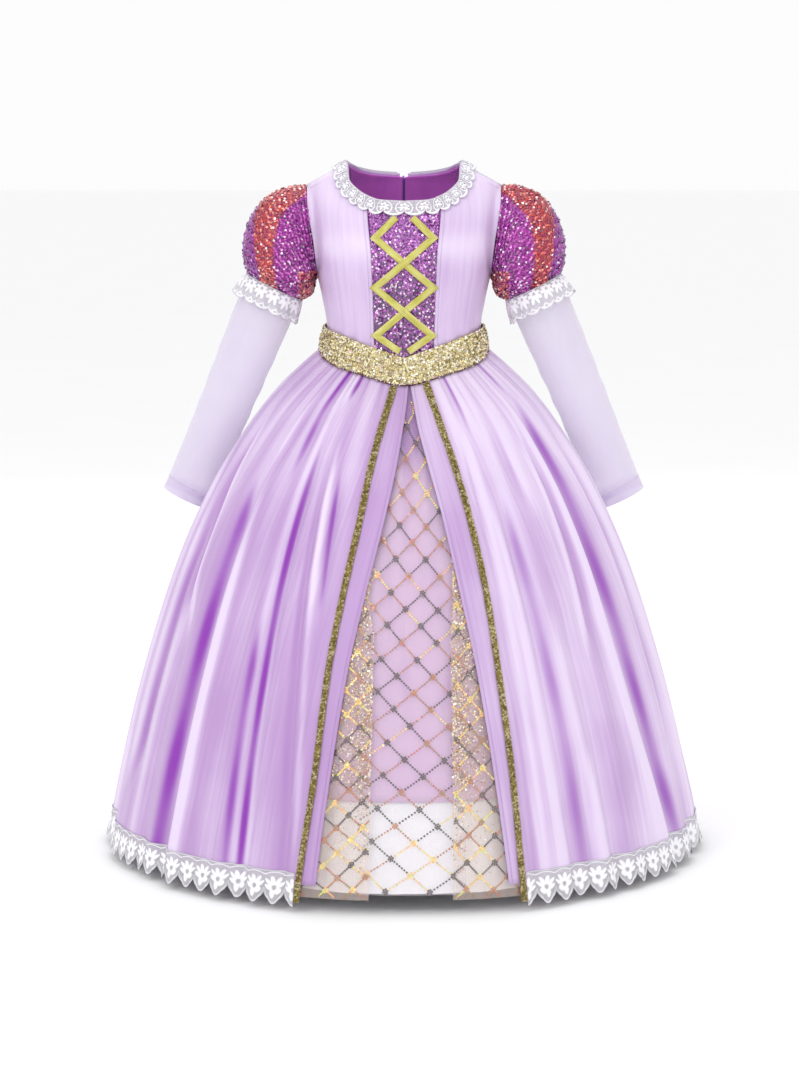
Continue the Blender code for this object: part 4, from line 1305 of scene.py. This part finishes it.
class DRESS_OT_overskirt(bpy.types.Operator):
    """Gathered satin overskirt in two front and two back pieces"""

    bl_idname = "dress.overskirt"
    bl_label = "Overskirt"

    def execute(self, context):
        # Lit and shaded copies of one satin: the left one has more painted light added over the whole piece.
        right = satin_finish("overskirt satin right", 0.0)
        left = satin_finish("overskirt satin left", 0.28)
        thread = thread_finish("skirt thread", (0.62, 0.50, 0.72), (0.40, 0.28, 0.52))
        for side, label in ((1, "left"), (-1, "right")):
            satin = left if side > 0 else right
            self.front("overskirt_front_" + label, side, satin, thread)
            self.back("overskirt_back_" + label, side, satin)
        return {'FINISHED'}

    def front(self, name, side, satin, thread):
        def place(u, v):
            t = v ** 1.15
            edge = split_angle(t, side, "edge")
            end = 90 - degrees(0.4 / read(SKIRT, t, 1))
            angle = blend(edge, end, u)
            # drape gives the painted crease shade and painted highlight.
            inset, shade_and_hem, light = drape(side, angle, t)
            roll = 0.8 * (1 - ease(angle, edge, edge + 0.5))
            return skirt(t, angle, inset + roll), shade_and_hem, light

        obj = cloth(name, 210, 84, place, satin, (0.80, 0.60), mirror=side < 0, thick=0.0007)
        rows = []
        for gap in (1.0,):
            line = []
            for k in range(161):
                t = (k / 160) ** 1.15
                angle = split_angle(t, side, "edge") + degrees(gap * 4 / read(SKIRT, t, 1))
                spot = skirt(t, angle, -0.25)
                line.append((spot.x * side, spot.y, spot.z))
            rows.append(line)
        seam = on_dress(stitches(name + "_stitches", rows, dress_sizes().stitch * 1.3, thread))
        on_dress(obj, name)
        declare(obj)

    def back(self, name, side, satin):
        def place(u, v):
            t = v ** 1.15
            half = read(SKIRT, t, 1) * read(SKIRT, t, 2)
            slot = blend(3.2, 0.3, ease(t, 0.15, 0.18))
            start = 90 + degrees(0.4 / read(SKIRT, t, 1))
            angle = blend(start, 180 - degrees(slot / half), u)
            # drape gives the painted crease shade and painted highlight.
            inset, shade_and_hem, light = drape(side, angle, t)
            return skirt(t, angle, inset), shade_and_hem, light

        obj = cloth(name, 210, 84, place, satin, (0.80, 0.60), mirror=side < 0, thick=0.0007)
        on_dress(obj, name)
        declare(obj)


class DRESS_OT_braid(bpy.types.Operator):
    """Plaited gold braid down both front edges"""

    bl_idname = "dress.braid"
    bl_label = "Braid"

    def execute(self, context):
        gold = braid_finish("braid cord")
        wide = dress_sizes().braid / MM
        for side, label in ((1, "left"), (-1, "right")):
            lines = [self.strand(side, k, wide) for k in range(3)]
            lines.append(self.end_turn(side, wide))
            obj = cords("braid_plait_" + label, lines, 0.00125, gold, 6, 0.8)
            on_dress(obj, "braid_" + label)
        return {'FINISHED'}

    def point(self, side, run, across, lift):
        t = run * 1.035
        middle = split_angle(t, side, "braid")
        half = read(SKIRT, t, 1) * read(SKIRT, t, 2)
        spot = skirt(t, middle + degrees(across / half), -1.0 - lift)
        return (spot.x * side, spot.y, spot.z)

    def strand(self, side, k, wide):
        line = []
        turns = 66
        for n in range(turns * 12 + 1):
            run = n / (turns * 12)
            phase = tau * (run * turns + k / 3)
            across = (wide / 2 - 1.2) * sin(phase) * (1 + 0.06 * sin(run * 90))
            line.append(self.point(side, run, across, 0.9 + 0.6 * sin(2 * phase)))
        return line

    def end_turn(self, side, wide):
        return [self.point(side, 0.998, (k / 8 - 0.5) * (wide - 1.5), 1.6) for k in range(9)]


class DRESS_OT_hem_lace(bpy.types.Operator):
    """Pointed lace below the satin hem"""

    bl_idname = "dress.hem_lace"
    bl_label = "Hem lace"

    def execute(self, context):
        lace = lace_finish("hem lace", dress().lace, 25.0, 37.0)
        thread = thread_finish("hem lace cord", dress().lace, (0.70, 0.67, 0.76), rough=0.8, twist=1.6)
        for side, label in ((1, "left"), (-1, "right")):
            self.half("hem_lace_" + label, side, lace, thread)
        return {'FINISHED'}

    def half(self, name, side, lace, thread):
        points = 40

        def at(u, z, lift):
            start = split_angle(1.0, side, "braid") + braid_half(1.0) + degrees(1.2 / 361)
            angle = blend(start, 179.9, u)
            t = share_at(z, angle)
            inset = drape(side, angle, min(1.0, t))[0]
            spot = skirt(t, angle, inset - lift)
            return Vector((spot.x, spot.y, z * MM))

        def tip(u):
            beat = u * points
            leaf = abs(((beat + 0.5) % 1.0) - 0.5) * 2
            small = 1.1 * abs(sin(beat * pi * 4))
            return -809.5 - 12.5 * (1 - leaf ** 1.25) - small * 0.8 + 0.8

        def place(u, v):
            low = tip(u)
            z = blend(LACE_TOP, low, v)
            flare = 0.7 + 2.0 * ease(v, 0.35, 1.0) * sin(u * points * pi * 0.66) ** 2
            return at(u, z, flare), 0.0, 0.0

        obj = cloth(name, 640, 10, place, lace, (1.0, 0.037), mirror=side < 0)
        edge, heading = [], []
        for k in range(1201):
            u = k / 1200
            low = at(u, tip(u), 0.8 + 2.0 * sin(u * points * pi * 0.66) ** 2)
            high = at(u, LACE_TOP - 0.5, 1.0)
            edge.append((low.x * side, low.y, low.z))
            heading.append((high.x * side, high.y, high.z))
        cord = on_dress(cords(name + "_cord", [heading], 0.0008, thread, 6))
        fine = on_dress(cords(name + "_edge", [edge], 0.0005, thread, 5))
        on_dress(obj, name)
        declare(obj)


class DRESS_OT_sequin_net(bpy.types.Operator):
    """Net panels with a lattice of sequins and bands of gold glitter"""

    bl_idname = "dress.sequin_net"
    bl_label = "Sequin net"

    def execute(self, context):
        side_net = net_finish("side net", (0.93, 0.80, 0.72), 1.6, 0.26, shade=(0.84, 0.66, 0.62))
        middle_net = net_finish("middle net", (0.93, 0.88, 0.95), 1.6, 0.08, shade=(0.86, 0.78, 0.88))
        foil = sequin_finish("net sequins", 0.3, 0.45)
        spark = sequin_finish("net glitter", 0.2, 0.5)
        for label, side in (("left", 1), ("right", -1)):
            self.panel("net_" + label, self.side_angles(side), -811, self.side_inset, side_net, foil, label, spark)
        self.panel("net_centre", self.centre_angles, -806, self.centre_inset, middle_net, foil, "centre", None)
        return {'FINISHED'}

    def side_angles(self, side):
        def ends(t):
            inner = read(NET_EDGE, t, 2 if side > 0 else 1)
            outer = side * split_angle(t, side, "braid")
            return (inner, outer) if side > 0 else (outer, inner)
        return ends

    def centre_angles(self, t):
        return read(NET_EDGE, t, 1) - 2.5, read(NET_EDGE, t, 2) + 2.5

    def side_inset(self, t, angle):
        return blend(1.9, 3.4, ease(t, 0, 0.1)) + 0.5 + 0.5 * sin(angle * 1.9 + 3 * t) * ease(t, 0, 0.2)

    def centre_inset(self, t, angle):
        return blend(3.9, 6.6, ease(t, 0, 0.1)) + 0.5 + 0.45 * sin(angle * 1.1 + 2 * t) * ease(t, 0, 0.2)

    def panel(self, name, ends, hem, inset, net, foil, label, spark):
        last = share_at(hem, 0.0)

        def place(u, v):
            t = v * last
            low, high = ends(t)
            angle = blend(low, high, u)
            return skirt(t, angle, inset(t, angle))

        obj = cloth(name, 40, 90, place, net, (0.16, 0.56))
        with_it = [self.lattice(name + "_sequins", ends, hem, inset, foil, label)]
        if spark:
            with_it.append(self.glitter(name + "_glitter", ends, inset, spark, label))
        for piece in with_it:
            on_dress(piece)
        on_dress(obj, name)
        declare(obj)

    def lattice(self, name, ends, hem, inset, foil, label):
        angle0, z0, first_a, first_z, second_a, second_z = LATTICE[label]
        rng = np.random.default_rng({"centre": 3, "left": 5, "right": 7}[label])
        radius = dress_sizes().net_sequin / 2
        spots, outs, rights, sizes, paints = [], [], [], [], []
        dark, copper, gold = (0.05, 0.03, 0.02), (0.42, 0.17, 0.06), (0.85, 0.58, 0.14)

        def add(angle, z, size, paint):
            t = share_at(z, angle)
            if t < 0.03 or z < hem + 1.5:
                return
            low, high = ends(t)
            if not low + 0.15 < angle < high - 0.15:
                return
            spot = skirt(t, angle, inset(t, angle) - 0.9)
            right = skirt(t, angle + 0.5, inset(t, angle)) - skirt(t, angle - 0.5, inset(t, angle))
            down = skirt(t + 0.005, angle, 0) - skirt(t - 0.005, angle, 0)
            spots.append(spot)
            rights.append(right.normalized())
            outs.append(down.cross(right).normalized())
            sizes.append(size)
            paints.append([c * rng.uniform(0.7, 1.35) for c in paint])

        def node(i, j):
            bow = 0.35 * sin(i * 0.9 + j * 1.7)
            return angle0 + i * first_a + j * second_a + bow * 0.4, z0 + i * first_z + j * second_z + bow

        for i in range(-34, 35):
            for j in range(-34, 35):
                angle, z = node(i, j)
                if not -30 < angle < 34 or not -840 < z < -250:
                    continue
                upper = ease(z, -560, -380)
                weights = [0.62 - 0.3 * upper, 0.25, 0.13 + 0.3 * upper]
                if label != "centre":
                    weights = [0.36, 0.27, 0.37]
                mood = rng.uniform(0, 1)
                paint = dark if mood < weights[0] else copper if mood < weights[0] + weights[1] else gold
                scale = degrees(1 / (read(SKIRT, max(0.0, share_at(z, angle)), 1)))
                add(angle, z, radius * 0.95, paint)
                for k in range(6):
                    turn = tau * k / 6 + 0.3
                    add(angle + scale * 2.6 * cos(turn), z + 2.6 * sin(turn), radius * 0.85, paint)
                for far in (node(i + 1, j), node(i, j + 1)):
                    tone = paint if rng.uniform() < 0.7 else (copper if rng.uniform() < 0.6 else gold)
                    for k in range(1, 7):
                        part = (k + 0.5) / 8
                        add(blend(angle, far[0], part), blend(z, far[1], part), radius * 0.84, tone)
        return discs(name, np.array(spots), np.array(rights), np.array(outs), np.array(sizes),
                     np.array(paints).clip(0, 1), foil, sides=8, seed=17, lean=0.12)

    def glitter(self, name, ends, inset, spark, label):
        rng = np.random.default_rng(41 if label == "left" else 43)
        spots, outs, rights, sizes = [], [], [], []
        for k in range(dress_sizes().glitter):
            t = 0.18 + 0.80 * rng.beta(1.7, 1.5)
            low, high = ends(t)
            width = high - low
            near = abs(rng.normal(0, 1)) * 0.30
            if t < 0.55:
                near = rng.uniform(0, 0.85)
            angle = low + width * min(0.97, near) if label == "left" else high - width * min(0.97, near)
            size = rng.uniform(0.45, 1.25) * (1.0 if t < 0.8 else 0.8)
            if t > 0.8 and rng.uniform() < 0.55:
                continue
            spots.append(skirt(t, angle, inset(t, angle) - 0.6 - rng.uniform(0, 0.5)))
            right = skirt(t, angle + 0.5, 0) - skirt(t, angle - 0.5, 0)
            down = skirt(t + 0.005, angle, 0) - skirt(t - 0.005, angle, 0)
            rights.append(right.normalized())
            outs.append(down.cross(right).normalized())
            sizes.append(size * MM)
        # The near-white pieces are painted glints.
        paints = pick(rng, len(spots), [
            (30, (0.80, 0.62, 0.26)), (24, (0.95, 0.88, 0.62)), (20, (0.46, 0.24, 0.14)),
            (14, (0.60, 0.36, 0.30)), (12, (0.98, 0.95, 0.85))])
        return discs(name, np.array(spots), np.array(rights), np.array(outs), np.array(sizes), paints,
                     spark, sides=5, seed=19, lean=0.5)


class DRESS_OT_underskirts(bpy.types.Operator):
    """Pink underskirt over a white net petticoat"""

    bl_idname = "dress.underskirts"
    bl_label = "Underskirts"

    def execute(self, context):
        pink = woven_finish("underskirt satin", dress().underskirt, (0.36, 0.10, 0.48), 0.6, rough=0.42, sheen=0.3)
        white = net_finish("petticoat net", (0.97, 0.97, 0.98), 1.4, 1.6, shade=(0.92, 0.91, 0.94))
        obj = self.layer("underskirt", UNDERSKIRT_HEM, 5.8, 9.8, 0.0, pink, -1.0, 1.0, 220, 0.0006)
        on_dress(obj, "underskirt")
        declare(obj)
        for name, start, end, columns in (
                ("petticoat_right", -1.0, -0.3182, 120),
                ("petticoat_front", -0.3182, 0.3182, 110),
                ("petticoat_left", 0.3182, 1.0, 120)):
            obj = self.layer(name, -806, 8.0, 12.6, 2.8, white, start, end, columns, 0.0)
            on_dress(obj, name)
            declare(obj)
        return {'FINISHED'}

    def layer(self, name, hem, start, full, extra, finish, first, final, columns, thick):
        def place(u, v):
            share = blend(first, final, u)
            near = share_at(hem, 180 * share)
            t = near * v
            half = read(SKIRT, t, 1) * read(SKIRT, t, 2)
            slot = blend(4.0, 0.4, ease(t, 0.18, 0.22))
            angle = (180 - degrees(slot / half)) * share
            wave = 0.75 * sin(angle * 0.77) + 0.5 * sin(angle * 1.63 + 2 * t)
            inset = inner_inset(t, angle, start, full, extra) + 1.3 + wave * ease(t, 0, 0.25)
            # Painted shade: darker violet at the top under the belt and overskirt and in bands round the skirt, less
            # near the middle of the front.
            violet = 0.9 * (1 - ease(t, 0.02, 0.24)) + 0.22 * (0.5 + 0.5 * sin(angle * 1.45 + 1.0)) * (1 - 0.5 * t)
            violet -= 0.12 * exp(-((angle - 4.2) / 1.6) ** 2)
            return skirt(t, angle, inset), max(0.0, violet) - 0.25, 0.0

        return cloth(name, columns, 50, place, finish, (2.0, 0.5), thick=thick)


class DRESS_OT_puffs(bpy.types.Operator):
    """Gathered sequin puff sleeves with an orange stripe"""

    bl_idname = "dress.puffs"
    bl_label = "Puffs"

    def execute(self, context):
        ground = ground_finish("puff cloth", (0.40, 0.03, 0.36), (0.09, 0.005, 0.10), stripe=(0.55, 0.06, 0.05))
        foil = sequin_finish("puff sequins", 0.17)
        for name, mirror in (("puff_left", False), ("puff_right", True)):
            self.puff(name, mirror, ground, foil)
        return {'FINISHED'}

    def puff(self, name, mirror, ground, foil):
        rng = np.random.default_rng(61 if mirror else 67)
        folds = [(k * tau / 17 + rng.uniform(-0.08, 0.08), rng.uniform(0.5, 1.3), rng.uniform(0.10, 0.19),
                  rng.uniform(0.25, 0.62), rng.uniform(-0.25, 0.25)) for k in range(17)]

        def place(u, v):
            turn = tau * u
            row = [read(PUFF, v, k) for k in range(1, 7)]
            outer_x, outer_z, inner_x, inner_z, depth, gather = row
            sink = 0.0
            for centre, deep, width, reach, slant in folds:
                off = (turn - centre - slant * v + pi) % tau - pi
                high = exp(-(off / width) ** 2)
                sink += 3.4 * deep * high * (max(0.0, 1 - v / reach) ** 0.8)
                low_off = (turn - centre - 0.15 + pi) % tau - pi
                low = exp(-(low_off / (width * 0.9)) ** 2)
                sink += 3.0 * deep * low * ease(v, 0.72, 0.93)
            sink *= min(1.0, v * 9) * (0.25 + 0.75 * (1 - ease(v, 0.93, 1.0)))
            swell = -sink * (0.6 + gather * 0.35)
            swell += 0.8 * sin(3 * turn + 9 * v) * sin(pi * v)
            across = Vector(((outer_x - inner_x) / 2, 0, (outer_z - inner_z) / 2))
            half = across.length
            across.normalize()
            centre = Vector(((outer_x + inner_x) / 2, 0, (outer_z + inner_z) / 2))
            spot = centre + across * (half + swell) * cos(turn) + Vector((0, (depth + swell) * sin(turn), 0))
            stripe_x = read(STRIPE, spot.z, 1)
            inside = 1 - ease(abs(spot.x - stripe_x), read(STRIPE, spot.z, 2) - 2, read(STRIPE, spot.z, 2) + 2)
            front = 1 - ease(spot.y, 6, 16) * (1 - ease(spot.z, -62, -56))
            # The second value is painted shade in the gathers, which the puff cloth does not read; the third, kept in
            # the light mark, is the orange stripe, the cloth's own colour.
            return spot * MM, min(1.0, sink * 0.16), inside * front

        obj = cloth(name, 126, 48, place, ground, (0.40, 0.13), ring=True, mirror=mirror, thick=0.0007)
        grid = GRIDS[name]

        def choose(v, u, rng):
            spot = sample(grid, v, u)[0] / MM
            x, z = np.abs(spot[:, 0]), spot[:, 2]
            stripe_x = np.array([read(STRIPE, high, 1) for high in z])
            width = np.array([read(STRIPE, high, 2) for high in z])
            front = (spot[:, 1] < 12) | (z > -60)
            red = (np.abs(x - stripe_x) < width + rng.normal(0, 1.5, len(v))) & front
            red |= (z < -128) & (x < 126) & (spot[:, 1] < 0)
            purple = x > stripe_x + width
            # The near-white discs in each set are painted glints.
            magenta = pick(rng, len(v), [
                (46, (0.52, 0.03, 0.42)), (18, (0.32, 0.02, 0.28)), (14, (0.75, 0.16, 0.64)),
                (10, (0.07, 0.006, 0.09)), (10, (0.98, 0.74, 0.93))])
            orange = pick(rng, len(v), [
                (50, (0.72, 0.085, 0.05)), (16, (0.42, 0.03, 0.04)), (16, (0.92, 0.34, 0.24)),
                (6, (0.10, 0.012, 0.03)), (12, (1.0, 0.84, 0.78))])
            violet = pick(rng, len(v), [
                (44, (0.30, 0.03, 0.38)), (20, (0.16, 0.015, 0.24)), (12, (0.50, 0.20, 0.62)),
                (14, (0.05, 0.006, 0.09)), (9, (0.92, 0.78, 0.98))])
            found = np.where(purple[:, None], violet, magenta)
            return np.where(red[:, None], orange, found)

        size = dress_sizes().sequin
        top = on_dress(sequins(name + "_sequins", name, size * 0.80, size * 0.50, choose, foil,
                               71 if mirror else 73, mirror=mirror, lift=0.0007, lean=0.30))
        on_dress(obj, name)
        declare(obj)


class DRESS_OT_arm_lace(bpy.types.Operator):
    """Scalloped lace ruffles below the puffs"""

    bl_idname = "dress.arm_lace"
    bl_label = "Arm lace"

    def execute(self, context):
        lace = lace_finish("arm lace", dress().lace, 18.0, 29.0)
        thread = thread_finish("arm lace cord", dress().lace, (0.70, 0.67, 0.76), rough=0.8, twist=1.6)
        for name, mirror in (("puff_lace_left", False), ("puff_lace_right", True)):
            self.ruffle(name, mirror, lace, thread)
        return {'FINISHED'}

    def ruffle(self, name, mirror, lace, thread):
        across = arm_across()
        down = Vector((0.42, 0, -0.907))
        scallops = 15
        phase = 0.8 if mirror else 0.0

        def spot_at(u, v, lift=0.0):
            turn = tau * u
            along, wide, deep, wave = (read(ARM_LACE, v, k) for k in range(1, 5))
            cut = 5.0 * (1 - sqrt(abs(sin(pi * u * scallops)))) + 0.7 * abs(sin(pi * u * scallops * 4))
            along = blend(0.8, along - cut, v) if v > 0 else along
            swell = wave * (0.55 * sin(9 * turn + phase) + 0.35 * sin(14 * turn + 1.1 + phase)) * ease(v, 0.05, 1.0)
            swell += wave * 0.25 + lift
            spot = ARM_TOP + down * along
            spot += across * (wide + swell) * cos(turn) + Vector((0, (deep + swell) * sin(turn), 0))
            spot = spot * MM
            return Vector((-spot.x if mirror else spot.x, spot.y, spot.z))

        def place(u, v):
            spot = spot_at(u, v)
            if mirror:
                spot.x = -spot.x
            return spot

        obj = cloth(name, 300, 14, place, lace, (0.27, 0.029), ring=True, mirror=mirror)
        edge = [spot_at(k / 450, 1.0, 0.2) for k in range(451)]
        band = [spot_at(k / 150, 0.06, 0.5) for k in range(151)]
        cord = on_dress(cords(name + "_cord", [edge, band], 0.00055, thread, 5))
        on_dress(obj, name)
        declare(obj)


class DRESS_OT_sleeves(bpy.types.Operator):
    """Long sheer mesh sleeves with a turned hem"""

    bl_idname = "dress.sleeves"
    bl_label = "Sleeves"

    def execute(self, context):
        mesh = mesh_finish("sleeve mesh", dress().mesh, (0.64, 0.54, 0.76))
        thread = thread_finish("sleeve thread", (0.78, 0.70, 0.86), (0.60, 0.50, 0.70))
        across = arm_across()
        for name, mirror in (("sleeve_left", False), ("sleeve_right", True)):
            phase = 1.9 if mirror else 0.0

            def place(u, v):
                share = 0.004 + 0.996 * v
                turn = tau * u
                wide, deep = read(SLEEVE, share, 1), read(SLEEVE, share, 2)
                centre = ARM_TOP.lerp(CUFF, share)
                centre.y = CUFF.y * share ** 1.7
                ruck = 0.55 * sin(share * 47 + 2.2 * cos(turn + phase)) * exp(-((share - 0.45) / 0.22) ** 2)
                ruck += 0.7 * sin(3 * turn + phase + 4 * share) * sin(pi * share)
                ruck -= 0.45 * exp(-((share - 0.945) / 0.004) ** 2)
                spot = centre + across * (wide + ruck) * cos(turn) + Vector((0, (deep + ruck) * sin(turn), 0))
                return spot * MM, ease(share, 0.944, 0.948), 0.0

            obj = cloth(name, 72, 150, place, mesh, (0.21, 0.31), ring=True, mirror=mirror)
            grid = GRIDS[name]
            row = int(0.943 * 150)
            centre = grid[row, :-1].mean(0)
            line = centre + (grid[row] - centre) * 1.006
            seam = on_dress(stitches(name + "_stitches", [line], dress_sizes().stitch, thread, 0.00018))
            on_dress(obj, name)
            declare(obj)
        return {'FINISHED'}


class DRESS_OT_zip(bpy.types.Operator):
    """Zip tape, teeth, slider and pull at the middle of the back"""

    bl_idname = "dress.zip"
    bl_label = "Zip"

    def execute(self, context):
        tape = woven_finish("zip tape", (0.30, 0.13, 0.52), (0.20, 0.08, 0.40), 1.1, rough=0.75)
        teeth = metal_finish("zip teeth", (0.34, 0.20, 0.56), (0.18, 0.10, 0.34))
        metal = metal_finish("zip metal", (0.34, 0.22, 0.54), (0.20, 0.12, 0.36))

        def place(u, v):
            z = blend(-16, ZIP_END, v)
            x = blend(12.0, -12.0, u)
            return back_line(z, x, -2.3)

        obj = cloth("zip_tape", 12, 120, place, tape, (0.024, 0.29), thick=0.0006)
        on_dress(obj, "zip_tape")
        declare(obj)
        parts = []
        count = 128
        for k in range(count):
            side = 1 if k % 2 else -1
            z = blend(-17.0, ZIP_END + 1.5, k / (count - 1))
            spot = back_line(z, 0.0, 0.9)
            way = (back_line(z + 2, 0.0, 0.9) - back_line(z - 2, 0.0, 0.9)).normalized()
            parts.append(self.tooth(spot, way, side))
        points, faces, places = join_parts(parts)
        row = add_mesh("zip_teeth_row", points.tolist(), faces, teeth, places, smooth=False)
        on_dress(row, "zip_teeth")
        for name in ("zip_slider", "zip_pull"):
            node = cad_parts[name]
            node.data.materials.clear()
            node.data.materials.append(metal)
            soft = node.modifiers.new("soft edges", 'BEVEL')
            soft.width = 0.00018
            soft.segments = 2
            soft.limit_method = 'ANGLE'
        return {'FINISHED'}

    def tooth(self, spot, way, side):
        """One hooked tooth from a short outline, 1.7 mm high."""
        outline = [(-0.5, 0.8), (0.7, 0.9), (1.0, 0.45), (2.3, 0.5), (2.3, -0.5), (1.0, -0.45), (0.7, -0.9), (-0.5, -0.8)]
        out = Vector((0, way.z, -way.y))
        if out.y < 0:
            out = -out
        verts = []
        for high in (-0.75, 0.75):
            for x, z in outline:
                verts.append(spot + (Vector((x * side, 0, 0)) + way * z + out * high) * MM)
        count = len(outline)
        faces = [tuple(range(count)), tuple(range(2 * count - 1, count - 1, -1))]
        faces += [(k, k + count, (k + 1) % count + count, (k + 1) % count) for k in range(count)]
        if side < 0:
            faces = [face[::-1] for face in faces]
        return np.array([tuple(v) for v in verts]), faces, np.zeros((2 * count, 2))


class DRESS_OT_studio(bpy.types.Operator):
    """Pale floor, soft light and the camera"""

    bl_idname = "dress.studio"
    bl_label = "Studio"

    def execute(self, context):
        scene = context.scene
        floor_mesh = bpy.data.meshes.new("floor")
        reach = 80.0
        floor_mesh.from_pydata([(-reach, -reach, 0), (reach, -reach, 0), (reach, reach, 0), (-reach, reach, 0)], [],
                               [(0, 1, 2, 3)])
        floor = bpy.data.objects.new("floor", floor_mesh)
        floor.location = (0, 0, -0.829)
        pale = Finish("pale floor", (0.96, 0.96, 0.97), 0.9, **{"Specular IOR Level": 0.1})
        grain = pale.noise(pale.solid_place(), 3.0, 2.0)
        pale.set({"Base Color": pale.mix(grain, (0.95, 0.95, 0.96), (0.97, 0.97, 0.98))})
        floor_mesh.materials.append(pale.material)
        scene.collection.objects.link(floor)
        world = bpy.data.worlds.new("studio")
        world.use_nodes = True
        tree = world.node_tree
        background = tree.nodes["Background"]
        background.inputs["Color"].default_value = (1.0, 1.0, 1.0, 1)
        background.inputs["Strength"].default_value = 0.98
        scene.world = world
        for name, place, size, power in (
                ("key light", (-1.9, -2.8, 2.2), 1.2, 30), ("fill light", (2.4, -2.4, 0.9), 2.0, 8),
                ("top light", (0.2, 0.6, 2.8), 1.8, 12), ("back light", (-0.6, 3.0, 1.2), 2.2, 10)):
            light = bpy.data.lights.new(name, 'AREA')
            light.size = size
            light.energy = power
            lamp = bpy.data.objects.new(name, light)
            lamp.location = place
            aim = Vector((0, 0, -0.4)) - Vector(place)
            lamp.rotation_euler = aim.to_track_quat('-Z', 'Y').to_euler()
            scene.collection.objects.link(lamp)
        camera = bpy.data.cameras.new("camera")
        camera.lens = 92.4
        camera.sensor_width = 36
        camera.clip_end = 300
        eye = bpy.data.objects.new("camera", camera)
        eye.location = (-0.0054, -3.31, 0.0)
        eye.rotation_euler = (radians(90 - 7.7045), 0, 0)
        scene.collection.objects.link(eye)
        scene.camera = eye
        scene.view_settings.view_transform = 'Standard'
        return {'FINISHED'}


class DRESS_PT_panel(bpy.types.Panel):
    """Operators and settings of the dress"""

    bl_label = "Princess dress"
    bl_idname = "DRESS_PT_panel"
    bl_space_type = 'VIEW_3D'
    bl_region_type = 'UI'
    bl_category = "Dress"

    def draw(self, context):
        for operator in OPERATORS:
            self.layout.operator(operator.bl_idname)
        for group in (context.scene.dress_looks, context.scene.dress_sizes):
            for name in group.__annotations__:
                self.layout.prop(group, name)


OPERATORS = (
    DRESS_OT_bodice, DRESS_OT_centre_front, DRESS_OT_neck_lining, DRESS_OT_neck_lace, DRESS_OT_lacing,
    DRESS_OT_belt, DRESS_OT_overskirt, DRESS_OT_braid, DRESS_OT_hem_lace, DRESS_OT_sequin_net,
    DRESS_OT_underskirts, DRESS_OT_puffs, DRESS_OT_arm_lace, DRESS_OT_sleeves, DRESS_OT_zip, DRESS_OT_studio,
)
CLASSES = (DressLooks, DressSizes, *OPERATORS, DRESS_PT_panel)


def register():
    for made in CLASSES:
        bpy.utils.register_class(made)
    bpy.types.Scene.dress_looks = PointerProperty(type=DressLooks)
    bpy.types.Scene.dress_sizes = PointerProperty(type=DressSizes)


def unregister():
    del bpy.types.Scene.dress_looks
    del bpy.types.Scene.dress_sizes
    for made in reversed(CLASSES):
        bpy.utils.unregister_class(made)


def main():
    register()
    bpy.ops.dress.bodice()
    bpy.ops.dress.centre_front()
    bpy.ops.dress.neck_lining()
    bpy.ops.dress.neck_lace()
    bpy.ops.dress.lacing()
    bpy.ops.dress.belt()
    bpy.ops.dress.overskirt()
    bpy.ops.dress.braid()
    bpy.ops.dress.hem_lace()
    bpy.ops.dress.sequin_net()
    bpy.ops.dress.underskirts()
    bpy.ops.dress.puffs()
    bpy.ops.dress.arm_lace()
    bpy.ops.dress.sleeves()
    bpy.ops.dress.zip()
    bpy.ops.dress.studio()


if __name__ == "__main__":
    main()
